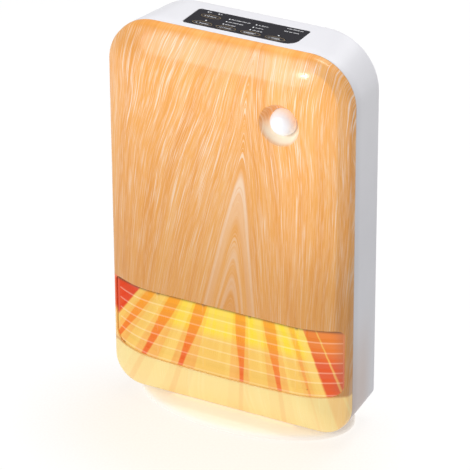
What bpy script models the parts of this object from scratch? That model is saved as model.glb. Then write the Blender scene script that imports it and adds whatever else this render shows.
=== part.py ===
"""A slim ceramic space heater, as an assembly of separate pieces.

Frame: +X to the heater's left-to-right as seen from the front, +Y towards its back, +Z up.
The origin is on the floor, under the middle of the oval base plate.
Units are metres. Sizes below are written in millimetres times MM.
Pieces are laid out with y = 0 at the seam between front panel and rear casing; settle() moves them at the end.
"""

from math import cos, hypot, pi, radians, sin

import bmesh
import bpy
from mathutils import Matrix, Vector

MM = 0.001
GAP = 0.3 * MM  # clearance between touching pieces

# Body outline at the seam plane (y = 0), and at the back, where the casing tapers
BODY_WIDTH = 260 * MM
BODY_LOW = 12 * MM
BODY_HIGH = 408 * MM
CORNER_TOP = 47 * MM
CORNER_LOW = 32 * MM
BACK_DEPTH = 57.4 * MM
BACK_WIDTH = 248.6 * MM
BACK_LOW = 26 * MM
BACK_CORNER_TOP = 54 * MM
BACK_CORNER_LOW = 9 * MM
BACK_FACE = 63.4 * MM  # the flat back, past the rounded edge
WALL = 2.5 * MM
BACK_EDGE = ((60.4, 1.1), (62.5, 3.2), (63.4, 6.4))  # depth and inset, in mm, around the rounded back edge
BACK_EDGE_INSIDE = ((59.6, 4.4), (60.9, 7.4))

# Front panel: a rim band, then a crown that rises from the rim to a flat middle
RIM_DEPTH = 7 * MM
CROWN_WIDTH = 55 * MM
CROWN_RADIUS = 86 * MM
FRONT_FACE = RIM_DEPTH + CROWN_WIDTH**2 / (2 * CROWN_RADIUS)
PANEL_WALL = 2.4 * MM

OUTLET_HALF = 125.5 * MM
OUTLET_LOW = BODY_LOW + 43 * MM
OUTLET_HIGH = BODY_LOW + 119.5 * MM
OUTLET_BOW = 5 * MM  # how far the outlet's lower edge rises towards its ends
OUTLET_TOP_RADIUS = 6 * MM
OUTLET_LOW_RADIUS = 14 * MM

SENSOR_X = 62 * MM
SENSOR_Z = BODY_LOW + 327.7 * MM
DISH_RADIUS = 21.7 * MM
DISH_DEPTH = 11.3 * MM
LENS_RADIUS = 13.2 * MM
LENS_FLANGE = 16 * MM
LENS_INSIDE = 0.91  # the dome's inner radius over its outer radius
DISH_BOWL = (  # radius over the dish's radius, and depth in mm
    (0.0, -6.0), (1.02, -6.0), (1.0, 0.0), (0.955, 3.6), (0.86, 7.0), (0.75, 9.6), (0.645, 11.2),
    (0.645, 20.0), (0.0, 20.0),
)

# Screws, and the holes that they pass
HEAD_RADIUS = 3.2 * MM
HEAD_HEIGHT = 2.1 * MM
SHANK_RADIUS = 1.4 * MM
PILOT_RADIUS = 1.7 * MM
CLEAR_RADIUS = 1.9 * MM
RECESS_RADIUS = 4 * MM
PAST = 5 * MM  # how far a cutter runs past the face that it opens

# Control plate on the top face
PLATE_LEFT = -58 * MM
PLATE_RIGHT = 60 * MM
PLATE_FRONT = 8.6 * MM
PLATE_BACK = 44 * MM
PLATE_THICK = 1 * MM
PLATE_CORNERS = (2 * MM, 3 * MM, 4 * MM, 11 * MM)  # right back, left back, left front, right front
LEDGE_WIDTH = 0.7 * MM
KEY_LENGTH = 22 * MM
KEY_DEPTH = 8.6 * MM
KEYS = {  # centre of each key on the top face
    "key_timer": (-39 * MM, 31.2 * MM),
    "key_auto": (-39 * MM, 14 * MM),
    "key_mode": (-14 * MM, 14 * MM),
    "key_sensor": (12 * MM, 14 * MM),
    "key_power": (38 * MM, 14 * MM),
}
LIGHTS = (  # centre of each indicator light on the top face
    (-46.5 * MM, 40 * MM),
    (-35 * MM, 40 * MM),
    (-39 * MM, 21.5 * MM),
    (-20.5 * MM, 34 * MM),
    (-20.5 * MM, 27.7 * MM),
    (-20.5 * MM, 21.4 * MM),
    (8 * MM, 34 * MM),
    (8 * MM, 27.7 * MM),
    (8 * MM, 21.4 * MM),
    (38 * MM, 21.5 * MM),
)
LIGHT_RADIUS = 0.8 * MM
KEY_BOARD_Z = 398 * MM
SWITCH_TOP = 403.6 * MM

# Air path
DUCT_LEFT = -106 * MM
DUCT_RIGHT = 76 * MM
DUCT_WALL = 1.8 * MM
FAN_Y = 29 * MM
FAN_Z = 168 * MM
FAN_RADIUS = 24 * MM
FAN_BLADES = 16
SHAFT_RADIUS = 2.5 * MM

# Heating element
CORE_LEFT = -98 * MM
CORE_RIGHT = 68 * MM
CORE_FRONT = 6 * MM
CORE_BACK = 20 * MM
CORE_LOW = 54 * MM
FIN_HEIGHT = 19 * MM
FIN_COUNT = 16
BAR_HEIGHT = 4 * MM

# Air intake in the back wall
INTAKE_HALF = 88 * MM
INTAKE_LOW = 192 * MM
INTAKE_HIGH = 338 * MM
COVER_THICK = 2.7 * MM

# Handle recess in the back wall
HANDLE_HALF = 46 * MM
HANDLE_LOW = 353 * MM
HANDLE_HIGH = 375 * MM
HANDLE_CORNER = 8 * MM
CUP_WALL = 2 * MM
CUP_LOW = 36 * MM
CUP_HIGH = 60.6 * MM

# Stand
BASE_HALF_LENGTH = 115 * MM
BASE_HALF_DEPTH = 63 * MM
BASE_Y = 29 * MM
BASE_TOP = 8.6 * MM
PEDESTAL_HALF = 66 * MM
PEDESTAL_FRONT = 6 * MM
PEDESTAL_BACK = 50 * MM
FOOT_RADIUS = 9 * MM
FEET = ((-80 * MM, 2 * MM), (80 * MM, 2 * MM), (-80 * MM, 56 * MM), (80 * MM, 56 * MM))
PLUNGER = (-30 * MM, 29 * MM)
PLUNGER_RADIUS = 2.4 * MM

ARC_STEPS = 7  # straight segments in each rounded corner


def finish(name, colour, roughness, metallic=0.0):
    """A plain material of one colour."""
    material = bpy.data.materials.new(name)
    material.use_nodes = True
    shader = material.node_tree.nodes["Principled BSDF"]
    shader.inputs["Base Color"].default_value = (*colour, 1)
    shader.inputs["Roughness"].default_value = roughness
    shader.inputs["Metallic"].default_value = metallic
    return material


def add(name, mesh_maker, material):
    """An object made from a bmesh, with its faces turned outwards."""
    bmesh.ops.recalc_face_normals(mesh_maker, faces=mesh_maker.faces)
    mesh = bpy.data.meshes.new(name)
    mesh_maker.to_mesh(mesh)
    mesh_maker.free()
    mesh.shade_smooth()
    mesh.set_sharp_from_angle(angle=radians(35))
    made = bpy.data.objects.new(name, mesh)
    bpy.context.scene.collection.objects.link(made)
    if material:
        mesh.materials.append(material)
    return made


def loft(name, loops, material=None):
    """Skin over outlines of equal point counts, closed by a flat face at each end."""
    maker = bmesh.new()
    rings = [[maker.verts.new(point) for point in loop] for loop in loops]
    for first, second in zip(rings, rings[1:]):
        count = len(first)
        for i in range(count):
            j = (i + 1) % count
            maker.faces.new((first[i], first[j], second[j], second[i]))
    maker.faces.new(rings[0])
    maker.faces.new(rings[-1])
    return add(name, maker, material)


def prism(name, outline, axis, low, high, material=None):
    """A flat outline pushed along one axis. The outline's points use the two other axes in order."""

    def point(pair, along):
        values = list(pair)
        values.insert("XYZ".index(axis), along)
        return values

    return loft(name, [[point(pair, at) for pair in outline] for at in (low, high)], material)


def block(name, low, high, material=None):
    """A rectangular block between two opposite corners."""
    outline = ((low[0], low[1]), (high[0], low[1]), (high[0], high[1]), (low[0], high[1]))
    return prism(name, outline, "Z", low[2], high[2], material)


def circle(radius, centre=(0, 0), sides=24):
    """Points of a regular polygon on a circle."""
    turns = [2 * pi * i / sides for i in range(sides)]
    return [(centre[0] + radius * cos(a), centre[1] + radius * sin(a)) for a in turns]


def rod(name, axis, centre, radius, low, high, material=None, sides=24):
    """A round bar along one axis; centre gives the two other coordinates in order."""
    return prism(name, circle(radius, centre, sides), axis, low, high, material)


def turned(name, axis, centre, profile, material=None, sides=32):
    """A ring turned about an axis. The profile is a closed list of (radius, position along the axis)."""
    maker = bmesh.new()
    rings = []
    for i in range(sides):
        angle = 2 * pi * i / sides
        ring = []
        for radius, along in profile:
            values = [centre[0] + radius * cos(angle), centre[1] + radius * sin(angle)]
            values.insert("XYZ".index(axis), along)
            ring.append(maker.verts.new(values))
        rings.append(ring)
    for i in range(sides):
        first, second = rings[i], rings[(i + 1) % sides]
        for j in range(len(profile)):
            k = (j + 1) % len(profile)
            maker.faces.new((first[j], first[k], second[k], second[j]))
    bmesh.ops.remove_doubles(maker, verts=maker.verts, dist=1e-6)
    bmesh.ops.dissolve_degenerate(maker, edges=maker.edges, dist=1e-7)
    return add(name, maker, material)


def stack(name, axis, centre, steps, material=None, sides=24):
    """A solid turned piece: (radius, position) pairs from one end to the other."""
    loops = []
    for radius, along in steps:
        loop = []
        for pair in circle(radius, centre, sides):
            values = list(pair)
            values.insert("XYZ".index(axis), along)
            loop.append(values)
        loops.append(loop)
    return loft(name, loops, material)


def rounded_box(low, high, radii):
    """Outline of a rectangle with its own radius at each corner, from the upper right one anticlockwise."""
    corners = ((high[0], high[1]), (low[0], high[1]), (low[0], low[1]), (high[0], low[1]))
    points = []
    for turn, (corner, radius) in enumerate(zip(corners, radii)):
        inward_x = -1 if turn in (0, 3) else 1
        inward_y = -1 if turn in (0, 1) else 1
        centre = (corner[0] + inward_x * radius, corner[1] + inward_y * radius)
        for step in range(ARC_STEPS + 1):
            angle = radians(90 * turn + 90 * step / ARC_STEPS)
            points.append((centre[0] + radius * cos(angle), centre[1] + radius * sin(angle)))
    return points


def body_loop(y, inset=0.0, softened=0.0):
    """The body's outline at depth y, moved in by inset. softened, from 0 to 1, rounds it off further in."""
    share = min(max(y / BACK_DEPTH, 0), 1)

    def between(front, back):
        return front + (back - front) * share

    half = between(BODY_WIDTH, BACK_WIDTH) / 2 - inset
    low = between(BODY_LOW, BACK_LOW) + inset
    high = BODY_HIGH - inset
    top = max(between(CORNER_TOP, BACK_CORNER_TOP) - inset, 1 * MM)
    bottom = max(between(CORNER_LOW, BACK_CORNER_LOW) - inset, 1.5 * MM)
    top += softened * (20 * MM - top)
    bottom += softened * (14 * MM - bottom)
    return [(x, y, z) for x, z in rounded_box((-half, low), (half, high), (top, top, bottom, bottom))]


def crown(distance):
    """How far behind the flat front the panel lies, at a distance in from its outline."""
    return max(CROWN_WIDTH - distance, 0) ** 2 / (2 * CROWN_RADIUS)


def crown_at_x(x):
    """The crown's depth across the width, away from the top and bottom edges."""
    return crown(BODY_WIDTH / 2 - abs(x))


def hide(tool):
    """Keeps a cutter or a joined shape out of the model."""
    tool.hide_render = True
    tool.display_type = "WIRE"


def combine(target, tool, operation):
    hide(tool)
    modifier = target.modifiers.new(f"{operation} {tool.name}", "BOOLEAN")
    modifier.operation = operation
    modifier.solver = "EXACT"
    modifier.object = tool


def cut(target, tool):
    combine(target, tool, "DIFFERENCE")


def join(target, tool):
    combine(target, tool, "UNION")


def grid_solid(name, cuts, filled, material, place=None, closed_axis=None):
    """A solid made of the filled cells of a grid.

    cuts holds the grid's positions along three axes. filled(i, j, k) says whether a cell is solid.
    place moves a grid point to its final position. closed_axis joins the grid's two ends along an axis.
    """
    maker = bmesh.new()
    sizes = [len(axis) - 1 for axis in cuts]
    points = {}

    def corner(index):
        index = list(index)
        if closed_axis is not None:
            index[closed_axis] %= sizes[closed_axis]
        key = tuple(index)
        if key not in points:
            at = Vector([cuts[axis][key[axis]] for axis in range(3)])
            points[key] = maker.verts.new(place(at) if place else at)
        return points[key]

    def solid(cell):
        cell = list(cell)
        if closed_axis is not None:
            cell[closed_axis] %= sizes[closed_axis]
        inside = all(0 <= cell[axis] < sizes[axis] for axis in range(3))
        return inside and filled(*cell)

    for i in range(sizes[0]):
        for j in range(sizes[1]):
            for k in range(sizes[2]):
                if not solid((i, j, k)):
                    continue
                for axis in range(3):
                    across, upward = (axis + 1) % 3, (axis + 2) % 3
                    for side in (0, 1):
                        neighbour = [i, j, k]
                        neighbour[axis] += 1 if side else -1
                        if solid(neighbour):
                            continue
                        face = []
                        for a, b in ((0, 0), (1, 0), (1, 1), (0, 1)):
                            index = [i, j, k]
                            index[axis] += side
                            index[across] += a
                            index[upward] += b
                            face.append(corner(index))
                        maker.faces.new(face)
    return add(name, maker, material)


def wire(name, route, radius, material):
    """An insulated lead along a smooth curve through its route's points."""
    curve = bpy.data.curves.new(name, "CURVE")
    curve.dimensions = "3D"
    curve.bevel_depth = radius
    curve.bevel_resolution = 1
    curve.use_fill_caps = True
    spline = curve.splines.new("POLY")
    points = smooth_route([Vector(point) for point in route])
    spline.points.add(len(points) - 1)
    for target, point in zip(spline.points, points):
        target.co = (*point, 1)
    made = bpy.data.objects.new(name, curve)
    bpy.context.scene.collection.objects.link(made)
    curve.materials.append(material)
    return made


def smooth_route(route, steps=4):
    """Points along a Catmull-Rom curve through the route."""
    padded = [route[0] * 2 - route[1], *route, route[-1] * 2 - route[-2]]
    points = []
    for a, b, c, d in zip(padded, padded[1:], padded[2:], padded[3:]):
        for step in range(steps):
            t = step / steps
            points.append(
                0.5 * (2 * b + (c - a) * t + (2 * a - 5 * b + 4 * c - d) * t**2
                       + (3 * b - a - 3 * c + d) * t**3)
            )
    points.append(route[-1])
    return points


def strip_outline(route, thickness):
    """The outline of a bent strip of even thickness along a route of (y, z) points."""
    left, right = [], []
    for i, point in enumerate(route):
        before = route[max(i - 1, 0)]
        after = route[min(i + 1, len(route) - 1)]
        along = (after[0] - before[0], after[1] - before[1])
        length = hypot(*along)
        normal = (-along[1] / length * thickness / 2, along[0] / length * thickness / 2)
        left.append((point[0] + normal[0], point[1] + normal[1]))
        right.append((point[0] - normal[0], point[1] - normal[1]))
    return left + right[::-1]


# Shell ------------------------------------------------------------------------------------------


POSTS = ((-98 * MM, 364 * MM), (98 * MM, 364 * MM), (-95 * MM, 39.5 * MM), (95 * MM, 39.5 * MM))
POST_RADIUS = 4.2 * MM
POST_END = 50 * MM
WELL_FLOOR = 53 * MM
WELL_RADIUS = 6.2 * MM


def outlet_rise(x, z):
    """How far a point of the outlet is raised: not at all along its top, most at the ends of its lower edge."""
    return OUTLET_BOW * (x / OUTLET_HALF) ** 2 * (OUTLET_HIGH - z) / (OUTLET_HIGH - OUTLET_LOW)


def outlet_outline():
    """The outlet's rounded outline, with long stretches divided so that they can be bowed."""
    corners = rounded_box((-OUTLET_HALF, OUTLET_LOW), (OUTLET_HALF, OUTLET_HIGH),
                          (OUTLET_TOP_RADIUS, OUTLET_TOP_RADIUS, OUTLET_LOW_RADIUS, OUTLET_LOW_RADIUS))
    outline = []
    for (x, z), (next_x, next_z) in zip(corners, corners[1:] + corners[:1]):
        steps = max(1, round(hypot(next_x - x, next_z - z) / (28 * MM)))
        for step in range(steps):
            share = step / steps
            outline.append((x + (next_x - x) * share, z + (next_z - z) * share))
    return [(x, z + outlet_rise(x, z)) for x, z in outline]


def front_panel(material):
    """Pillow-shaped front shell with the outlet opening, the sensor dish and four screw posts."""
    insets = (2.2, 5, 11, 19, 30, 42, 55)
    outer = [body_loop(-GAP), body_loop(-RIM_DEPTH + 0.8 * MM, 0.7 * MM)]
    inner = [body_loop(-GAP, PANEL_WALL), body_loop(-RIM_DEPTH + 2.8 * MM, PANEL_WALL + 0.5 * MM)]
    for inset in insets:
        distance = inset * MM
        softened = distance / CROWN_WIDTH
        y = crown(distance) - FRONT_FACE
        loop = body_loop(0, distance, softened)
        outer.append([(x, y, z) for x, _, z in loop])
        if distance >= 5 * MM:
            inner.append([(x, y + PANEL_WALL, z) for x, _, z in loop])
    panel = loft("front_panel", outer[::-1] + inner, material)

    plug = rod("dish_plug", "Y", (SENSOR_X, SENSOR_Z), DISH_RADIUS + 2.2 * MM,
               -FRONT_FACE + 1.2 * MM, -FRONT_FACE + DISH_DEPTH + 2 * MM, sides=32)
    join(panel, plug)
    for number, (x, z) in enumerate(POSTS):
        distance = min(BODY_WIDTH / 2 - abs(x), BODY_HIGH - z, z - BODY_LOW)
        start = crown(distance) - FRONT_FACE + 0.8 * PANEL_WALL
        join(panel, rod(f"post_{number}", "Y", (x, z), POST_RADIUS, start, POST_END, sides=12))

    cut(panel, prism("outlet_cutter", outlet_outline(), "Y", -FRONT_FACE - PAST, 2 * MM))
    profile = [(DISH_RADIUS * share, -FRONT_FACE + along * MM) for share, along in DISH_BOWL]
    cut(panel, turned("dish_cutter", "Y", (SENSOR_X, SENSOR_Z), profile, sides=32))
    for number, (x, z) in enumerate(POSTS):
        cut(panel, rod(f"pilot_{number}", "Y", (x, z), PILOT_RADIUS, 36 * MM, POST_END + PAST, sides=8))
    return panel


def rear_casing(material):
    """White tub: tapered sides, rounded back edge, and the openings for the parts it carries."""
    outer = [body_loop(0), body_loop(BACK_DEPTH / 2), body_loop(BACK_DEPTH)]
    for y, inset in BACK_EDGE:
        outer.append([(x, y * MM, z) for x, _, z in body_loop(BACK_DEPTH, inset * MM)])
    inner = [body_loop(0, WALL), body_loop(BACK_DEPTH / 2, WALL), body_loop(BACK_DEPTH - 1.2 * MM, WALL)]
    for y, inset in BACK_EDGE_INSIDE:
        inner.append([(x, y * MM, z) for x, _, z in body_loop(BACK_DEPTH, inset * MM)])
    casing = loft("rear_casing", outer[::-1] + inner, material)

    for number, (x, z) in enumerate(POSTS):
        well = rod(f"well_{number}", "Y", (x, z), WELL_RADIUS, POST_END + GAP, BACK_FACE - 1 * MM, sides=14)
        join(casing, well)
    for number, (x, z) in enumerate(POSTS):
        bore = rod(f"well_bore_{number}", "Y", (x, z), RECESS_RADIUS, WELL_FLOOR, BACK_FACE + PAST, sides=14)
        cut(casing, bore)
        cut(casing, rod(f"well_hole_{number}", "Y", (x, z), CLEAR_RADIUS, POST_END - PAST, WELL_FLOOR + 2 * MM,
                        sides=8))

    window = rounded_box((-INTAKE_HALF - GAP, INTAKE_LOW - GAP), (INTAKE_HALF + GAP, INTAKE_HIGH + GAP),
                         (0.4 * MM,) * 4)
    before, after = BACK_FACE - WALL - PAST, BACK_FACE + PAST
    cut(casing, prism("intake_cutter", window, "Y", before, after))
    slot = rounded_box((-HANDLE_HALF, HANDLE_LOW), (HANDLE_HALF, HANDLE_HIGH), (HANDLE_CORNER,) * 4)
    cut(casing, prism("handle_cutter", slot, "Y", before, after))
    cut(casing, rod("gland_cutter", "Y", GLAND, GLAND_NECK + GAP, before, after))

    ledge = control_outline(GAP)
    cut(casing, prism("plate_cutter", ledge, "Z", BODY_HIGH - PLATE_THICK - GAP, BODY_HIGH + PAST))
    window = control_outline(-LEDGE_WIDTH)
    cut(casing, prism("keys_cutter", window, "Z", BODY_HIGH - 2 * PAST, BODY_HIGH + PAST - 1 * MM))
    below, above = BODY_LOW - 4 * MM, BACK_LOW + 8 * MM
    for number, centre in enumerate(BASE_SCREWS):
        cut(casing, rod(f"foot_hole_{number}", "Z", centre, CLEAR_RADIUS, below, above, sides=12))
    cut(casing, rod("plunger_hole", "Z", PLUNGER, PLUNGER_RADIUS + 1 * MM, below, above, sides=16))
    return casing


def control_outline(grow):
    """The control plate's outline, with one large rounded corner at its right front."""
    radii = [radius + grow / 2 for radius in PLATE_CORNERS[:3]] + [PLATE_CORNERS[3] + grow]
    return rounded_box((PLATE_LEFT - grow, PLATE_FRONT - grow), (PLATE_RIGHT + grow, PLATE_BACK + grow), radii)


def key_outline(centre, grow=0.0):
    """An oval key's outline."""
    half_length = KEY_LENGTH / 2 + grow
    half_depth = KEY_DEPTH / 2 + grow
    return [(centre[0] + half_length * x, centre[1] + half_depth * y) for x, y in circle(1.0, sides=20)]


def control_plate(material):
    """Thin black plate, flush with the top, with holes for the keys and the lights."""
    plate = prism("control_plate", control_outline(0), "Z", BODY_HIGH - PLATE_THICK, BODY_HIGH, material)
    for name, centre in KEYS.items():
        cut(plate, prism(f"{name}_hole", key_outline(centre, GAP), "Z", BODY_HIGH - PAST, BODY_HIGH + PAST))
    for number, centre in enumerate(LIGHTS):
        cut(plate, rod(f"light_hole_{number}", "Z", centre, LIGHT_RADIUS + 0.25 * MM,
                       BODY_HIGH - PAST, BODY_HIGH + PAST, sides=8))
    return plate


def key(name, centre, material):
    """Oval cap, with two end tabs that stop under the plate and a stem over its switch."""
    top = BODY_HIGH + 0.15 * MM
    under_plate = BODY_HIGH - PLATE_THICK - 0.4 * MM
    made = prism(name, key_outline(centre), "Z", under_plate - 1.2 * MM, top, material)
    tabs = block(f"{name}_tabs", (centre[0] - KEY_LENGTH / 2 - 1 * MM, centre[1] - 2 * MM, under_plate - 1 * MM),
                 (centre[0] + KEY_LENGTH / 2 + 1 * MM, centre[1] + 2 * MM, under_plate))
    join(made, tabs)
    stem = block(f"{name}_stem", (centre[0] - 2 * MM, centre[1] - 2 * MM, SWITCH_TOP + 0.8 * MM),
                 (centre[0] + 2 * MM, centre[1] + 2 * MM, under_plate - 0.5 * MM))
    join(made, stem)
    return made


def key_board(material):
    """Circuit board under the keys, with one small push switch under each."""
    board = block("key_board", (-57 * MM, 9 * MM, KEY_BOARD_Z), (57 * MM, 43 * MM, KEY_BOARD_Z + 1.6 * MM), material)
    for name, (x, y) in KEYS.items():
        join(board, block(f"{name}_switch", (x - 3 * MM, y - 3 * MM, KEY_BOARD_Z + 1 * MM),
                          (x + 3 * MM, y + 3 * MM, SWITCH_TOP - 0.6 * MM)))
        join(board, block(f"{name}_actuator", (x - 1.5 * MM, y - 1.5 * MM, SWITCH_TOP - 1 * MM),
                          (x + 1.5 * MM, y + 1.5 * MM, SWITCH_TOP)))
    return board


def light_guide(material):
    """Clear moulding that carries light from the board to the small round indicators."""
    low, high = KEY_BOARD_Z + 2 * MM, KEY_BOARD_Z + 3.4 * MM
    guide = block("light_guide", (-40 * MM, 22.6 * MM, low), (39 * MM, 24.6 * MM, high), material)
    arms = (
        ((-21.5, 21), (-19.5, 35)),
        ((7, 21), (9, 35)),
        ((-40, 20.6), (-38, 23.5)),
        ((37, 20.6), (39, 23.5)),
        ((-26, 23.5), (-24, 41)),
        ((-47.5, 39), (-24.5, 41)),
    )
    for number, (start, end) in enumerate(arms):
        join(guide, block(f"guide_arm_{number}", (start[0] * MM, start[1] * MM, low + 0.05 * MM * (number + 1)),
                          (end[0] * MM, end[1] * MM, high - 0.05 * MM * (number + 1))))
    for number, centre in enumerate(LIGHTS):
        join(guide, rod(f"guide_pipe_{number}", "Z", centre, LIGHT_RADIUS, low + 0.5 * MM, BODY_HIGH, sides=8))
    return guide


def sensor_lens(material):
    """Hollow dome in the dish, with a flange behind the panel."""
    centre_y = -FRONT_FACE + DISH_DEPTH - 0.2 * MM
    outside = [(LENS_RADIUS * cos(radians(a)), centre_y - LENS_RADIUS * sin(radians(a))) for a in range(0, 91, 18)]
    inside = [(LENS_INSIDE * radius, centre_y + (y - centre_y) * LENS_INSIDE) for radius, y in outside]
    flange_low = -FRONT_FACE + DISH_DEPTH + 2 * MM + GAP
    base = [(LENS_FLANGE, flange_low), (LENS_RADIUS, flange_low)]
    back = [(inside[0][0], flange_low + 1.5 * MM), (LENS_FLANGE, flange_low + 1.5 * MM)]
    profile = base + outside + inside[::-1] + back
    return turned("sensor_lens", "Y", (SENSOR_X, SENSOR_Z), profile, material, sides=24)


def sensor_board(material):
    """Small board with the motion sensor's round can, behind the dome."""
    board = block("sensor_board", (SENSOR_X - 14 * MM, -6 * MM, SENSOR_Z - 12 * MM),
                  (SENSOR_X + 14 * MM, -4.4 * MM, SENSOR_Z + 12 * MM), material)
    join(board, rod("sensor_can", "Y", (SENSOR_X, SENSOR_Z), 4.6 * MM, -12 * MM, -5 * MM, sides=20))
    return board


# Outlet and air path ----------------------------------------------------------------------------


LOUVRE_SETBACK = 5 * MM
LOUVRE_DEPTH = 8 * MM
LOUVRE_BAR = 1.6 * MM
LOUVRE_BARS = 5
LOUVRE_FIRST = 14.2 * MM  # height of the lowest bar above the outlet's lower edge
LOUVRE_PITCH = 11.5 * MM


def outlet_louvre(material):
    """Five thin bars between a top and a bottom rail, bowed like the panel, on a rear comb of ribs."""
    half = 125.8 * MM
    ribs = (-76 * MM, -25.4 * MM, 25.4 * MM, 76 * MM)
    rib_half = 0.8 * MM
    bends = (88, 101, 112, 121.6)
    columns = {0.0, half, -half}
    for bend in bends:
        columns |= {bend * MM, -bend * MM}
    for rib in ribs:
        columns |= {rib - rib_half, rib + rib_half}
    columns = sorted(columns)
    rows = [OUTLET_LOW - 1.2 * MM, OUTLET_LOW + 0.6 * MM]
    for bar in range(LOUVRE_BARS):
        middle = OUTLET_LOW + LOUVRE_FIRST + bar * LOUVRE_PITCH
        rows += [middle - LOUVRE_BAR / 2, middle + LOUVRE_BAR / 2]
    rows += [OUTLET_HIGH - 0.6 * MM, OUTLET_HIGH + 3 * MM]
    layers = [0, LOUVRE_DEPTH / 2, LOUVRE_DEPTH]

    def filled(i, j, k):
        if k % 2 == 0:
            return True
        middle = (columns[i] + columns[i + 1]) / 2
        on_rib = any(abs(middle - rib) < rib_half for rib in ribs)
        at_end = abs(middle) > bends[-1] * MM
        return j == 1 and (on_rib or at_end)

    def place(point):
        bowed = crown_at_x(point.x) - FRONT_FACE + LOUVRE_SETBACK + point.y
        return Vector((point.x, bowed, point.z + outlet_rise(point.x, point.z)))

    return grid_solid("outlet_louvre", (columns, layers, rows), filled, material, place)


def outlet_surround(material):
    """Dark frame that closes the space between the louvre and the heating element on all four sides."""
    half = OUTLET_HALF - 1 * MM
    columns = [-half, DUCT_LEFT - 3.1 * MM, DUCT_RIGHT + 3.1 * MM, half]
    layers = [-6 * MM, 1.2 * MM, 4 * MM, 5.6 * MM]
    rows = [OUTLET_LOW - 11 * MM, OUTLET_LOW - 9.5 * MM, OUTLET_HIGH + 3.8 * MM, OUTLET_HIGH + 5.4 * MM]

    def filled(i, j, k):
        at_side = i != 1
        if k == 0:
            return True
        if k == 1:
            return at_side and j == 2
        return at_side or j == 0

    return grid_solid("outlet_surround", (columns, layers, rows), filled, material)


def duct_route():
    """The scroll's middle line: behind the fan, then down and forward under the heating element."""
    route = []
    for angle in range(52, -41, -13):
        radius = 26.8 * MM + ((52 - angle) / 92) ** 2 * 6 * MM
        route.append((FAN_Y + radius * cos(radians(angle)), FAN_Z + radius * sin(radians(angle))))
    route += [(y * MM, z * MM) for y, z in ((50, 118), (42, 86), (31, 62), (22, 51.6), (5, 50.6))]
    return route


def duct_pieces(material):
    """The two curved walls of the air path and its two end plates."""
    rear = strip_outline(duct_route(), DUCT_WALL)
    prism("duct_rear", rear, "X", DUCT_LEFT + GAP, DUCT_RIGHT - GAP, material)
    tongue = [(y * MM, z * MM) for y, z in ((3.6, 158), (2.7, 150), (2.4, 140), (3, 128), (5, 121.6))]
    prism("duct_front", strip_outline(tongue, DUCT_WALL), "X", DUCT_LEFT + GAP, DUCT_RIGHT - GAP, material)
    side = [(y * MM, z * MM) for y, z in
            ((2, 48.8), (23, 48.8), (45, 74), (53, 110), (58.6, 142), (59.8, 165), (56.5, 186), (50, 196),
             (24, 200), (2, 166))]
    for name, low in (("duct_end_left", DUCT_LEFT - 2.5 * MM), ("duct_end_right", DUCT_RIGHT)):
        plate = prism(name, side, "X", low, low + 2.5 * MM, material)
        cut(plate, rod(f"{name}_bore", "X", (FAN_Y, FAN_Z), 5 * MM, low - 5 * MM, low + 8 * MM, sides=20))


def fan_rotor(material):
    """Cross-flow rotor: curved blades between two end discs and one middle disc."""
    left, right = DUCT_LEFT + 3 * MM, DUCT_RIGHT - 3 * MM
    middle = (left + right) / 2
    disc = 1.4 * MM
    along = [left, left + disc, middle - disc / 2, middle + disc / 2, right - disc, right]
    radii = [SHAFT_RADIUS + 0.05 * MM, 17 * MM, 20.5 * MM, FAN_RADIUS]
    pitch = 2 * pi / FAN_BLADES
    blade = 0.24 * pitch
    angles = []
    for number in range(FAN_BLADES):
        angles += [number * pitch, number * pitch + blade]
    angles.append(2 * pi)

    def filled(i, j, k):
        is_disc = i % 2 == 0
        is_blade = k % 2 == 0 and j > 0
        return is_disc or is_blade

    def place(point):
        sweep = max(point.y - radii[1], 0) / (FAN_RADIUS - radii[1])
        angle = point.z + 0.45 * sweep**1.5
        return Vector((point.x, FAN_Y + point.y * cos(angle), FAN_Z + point.y * sin(angle)))

    return grid_solid("fan_rotor", (along, radii, angles), filled, material, place, closed_axis=2)


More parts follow.
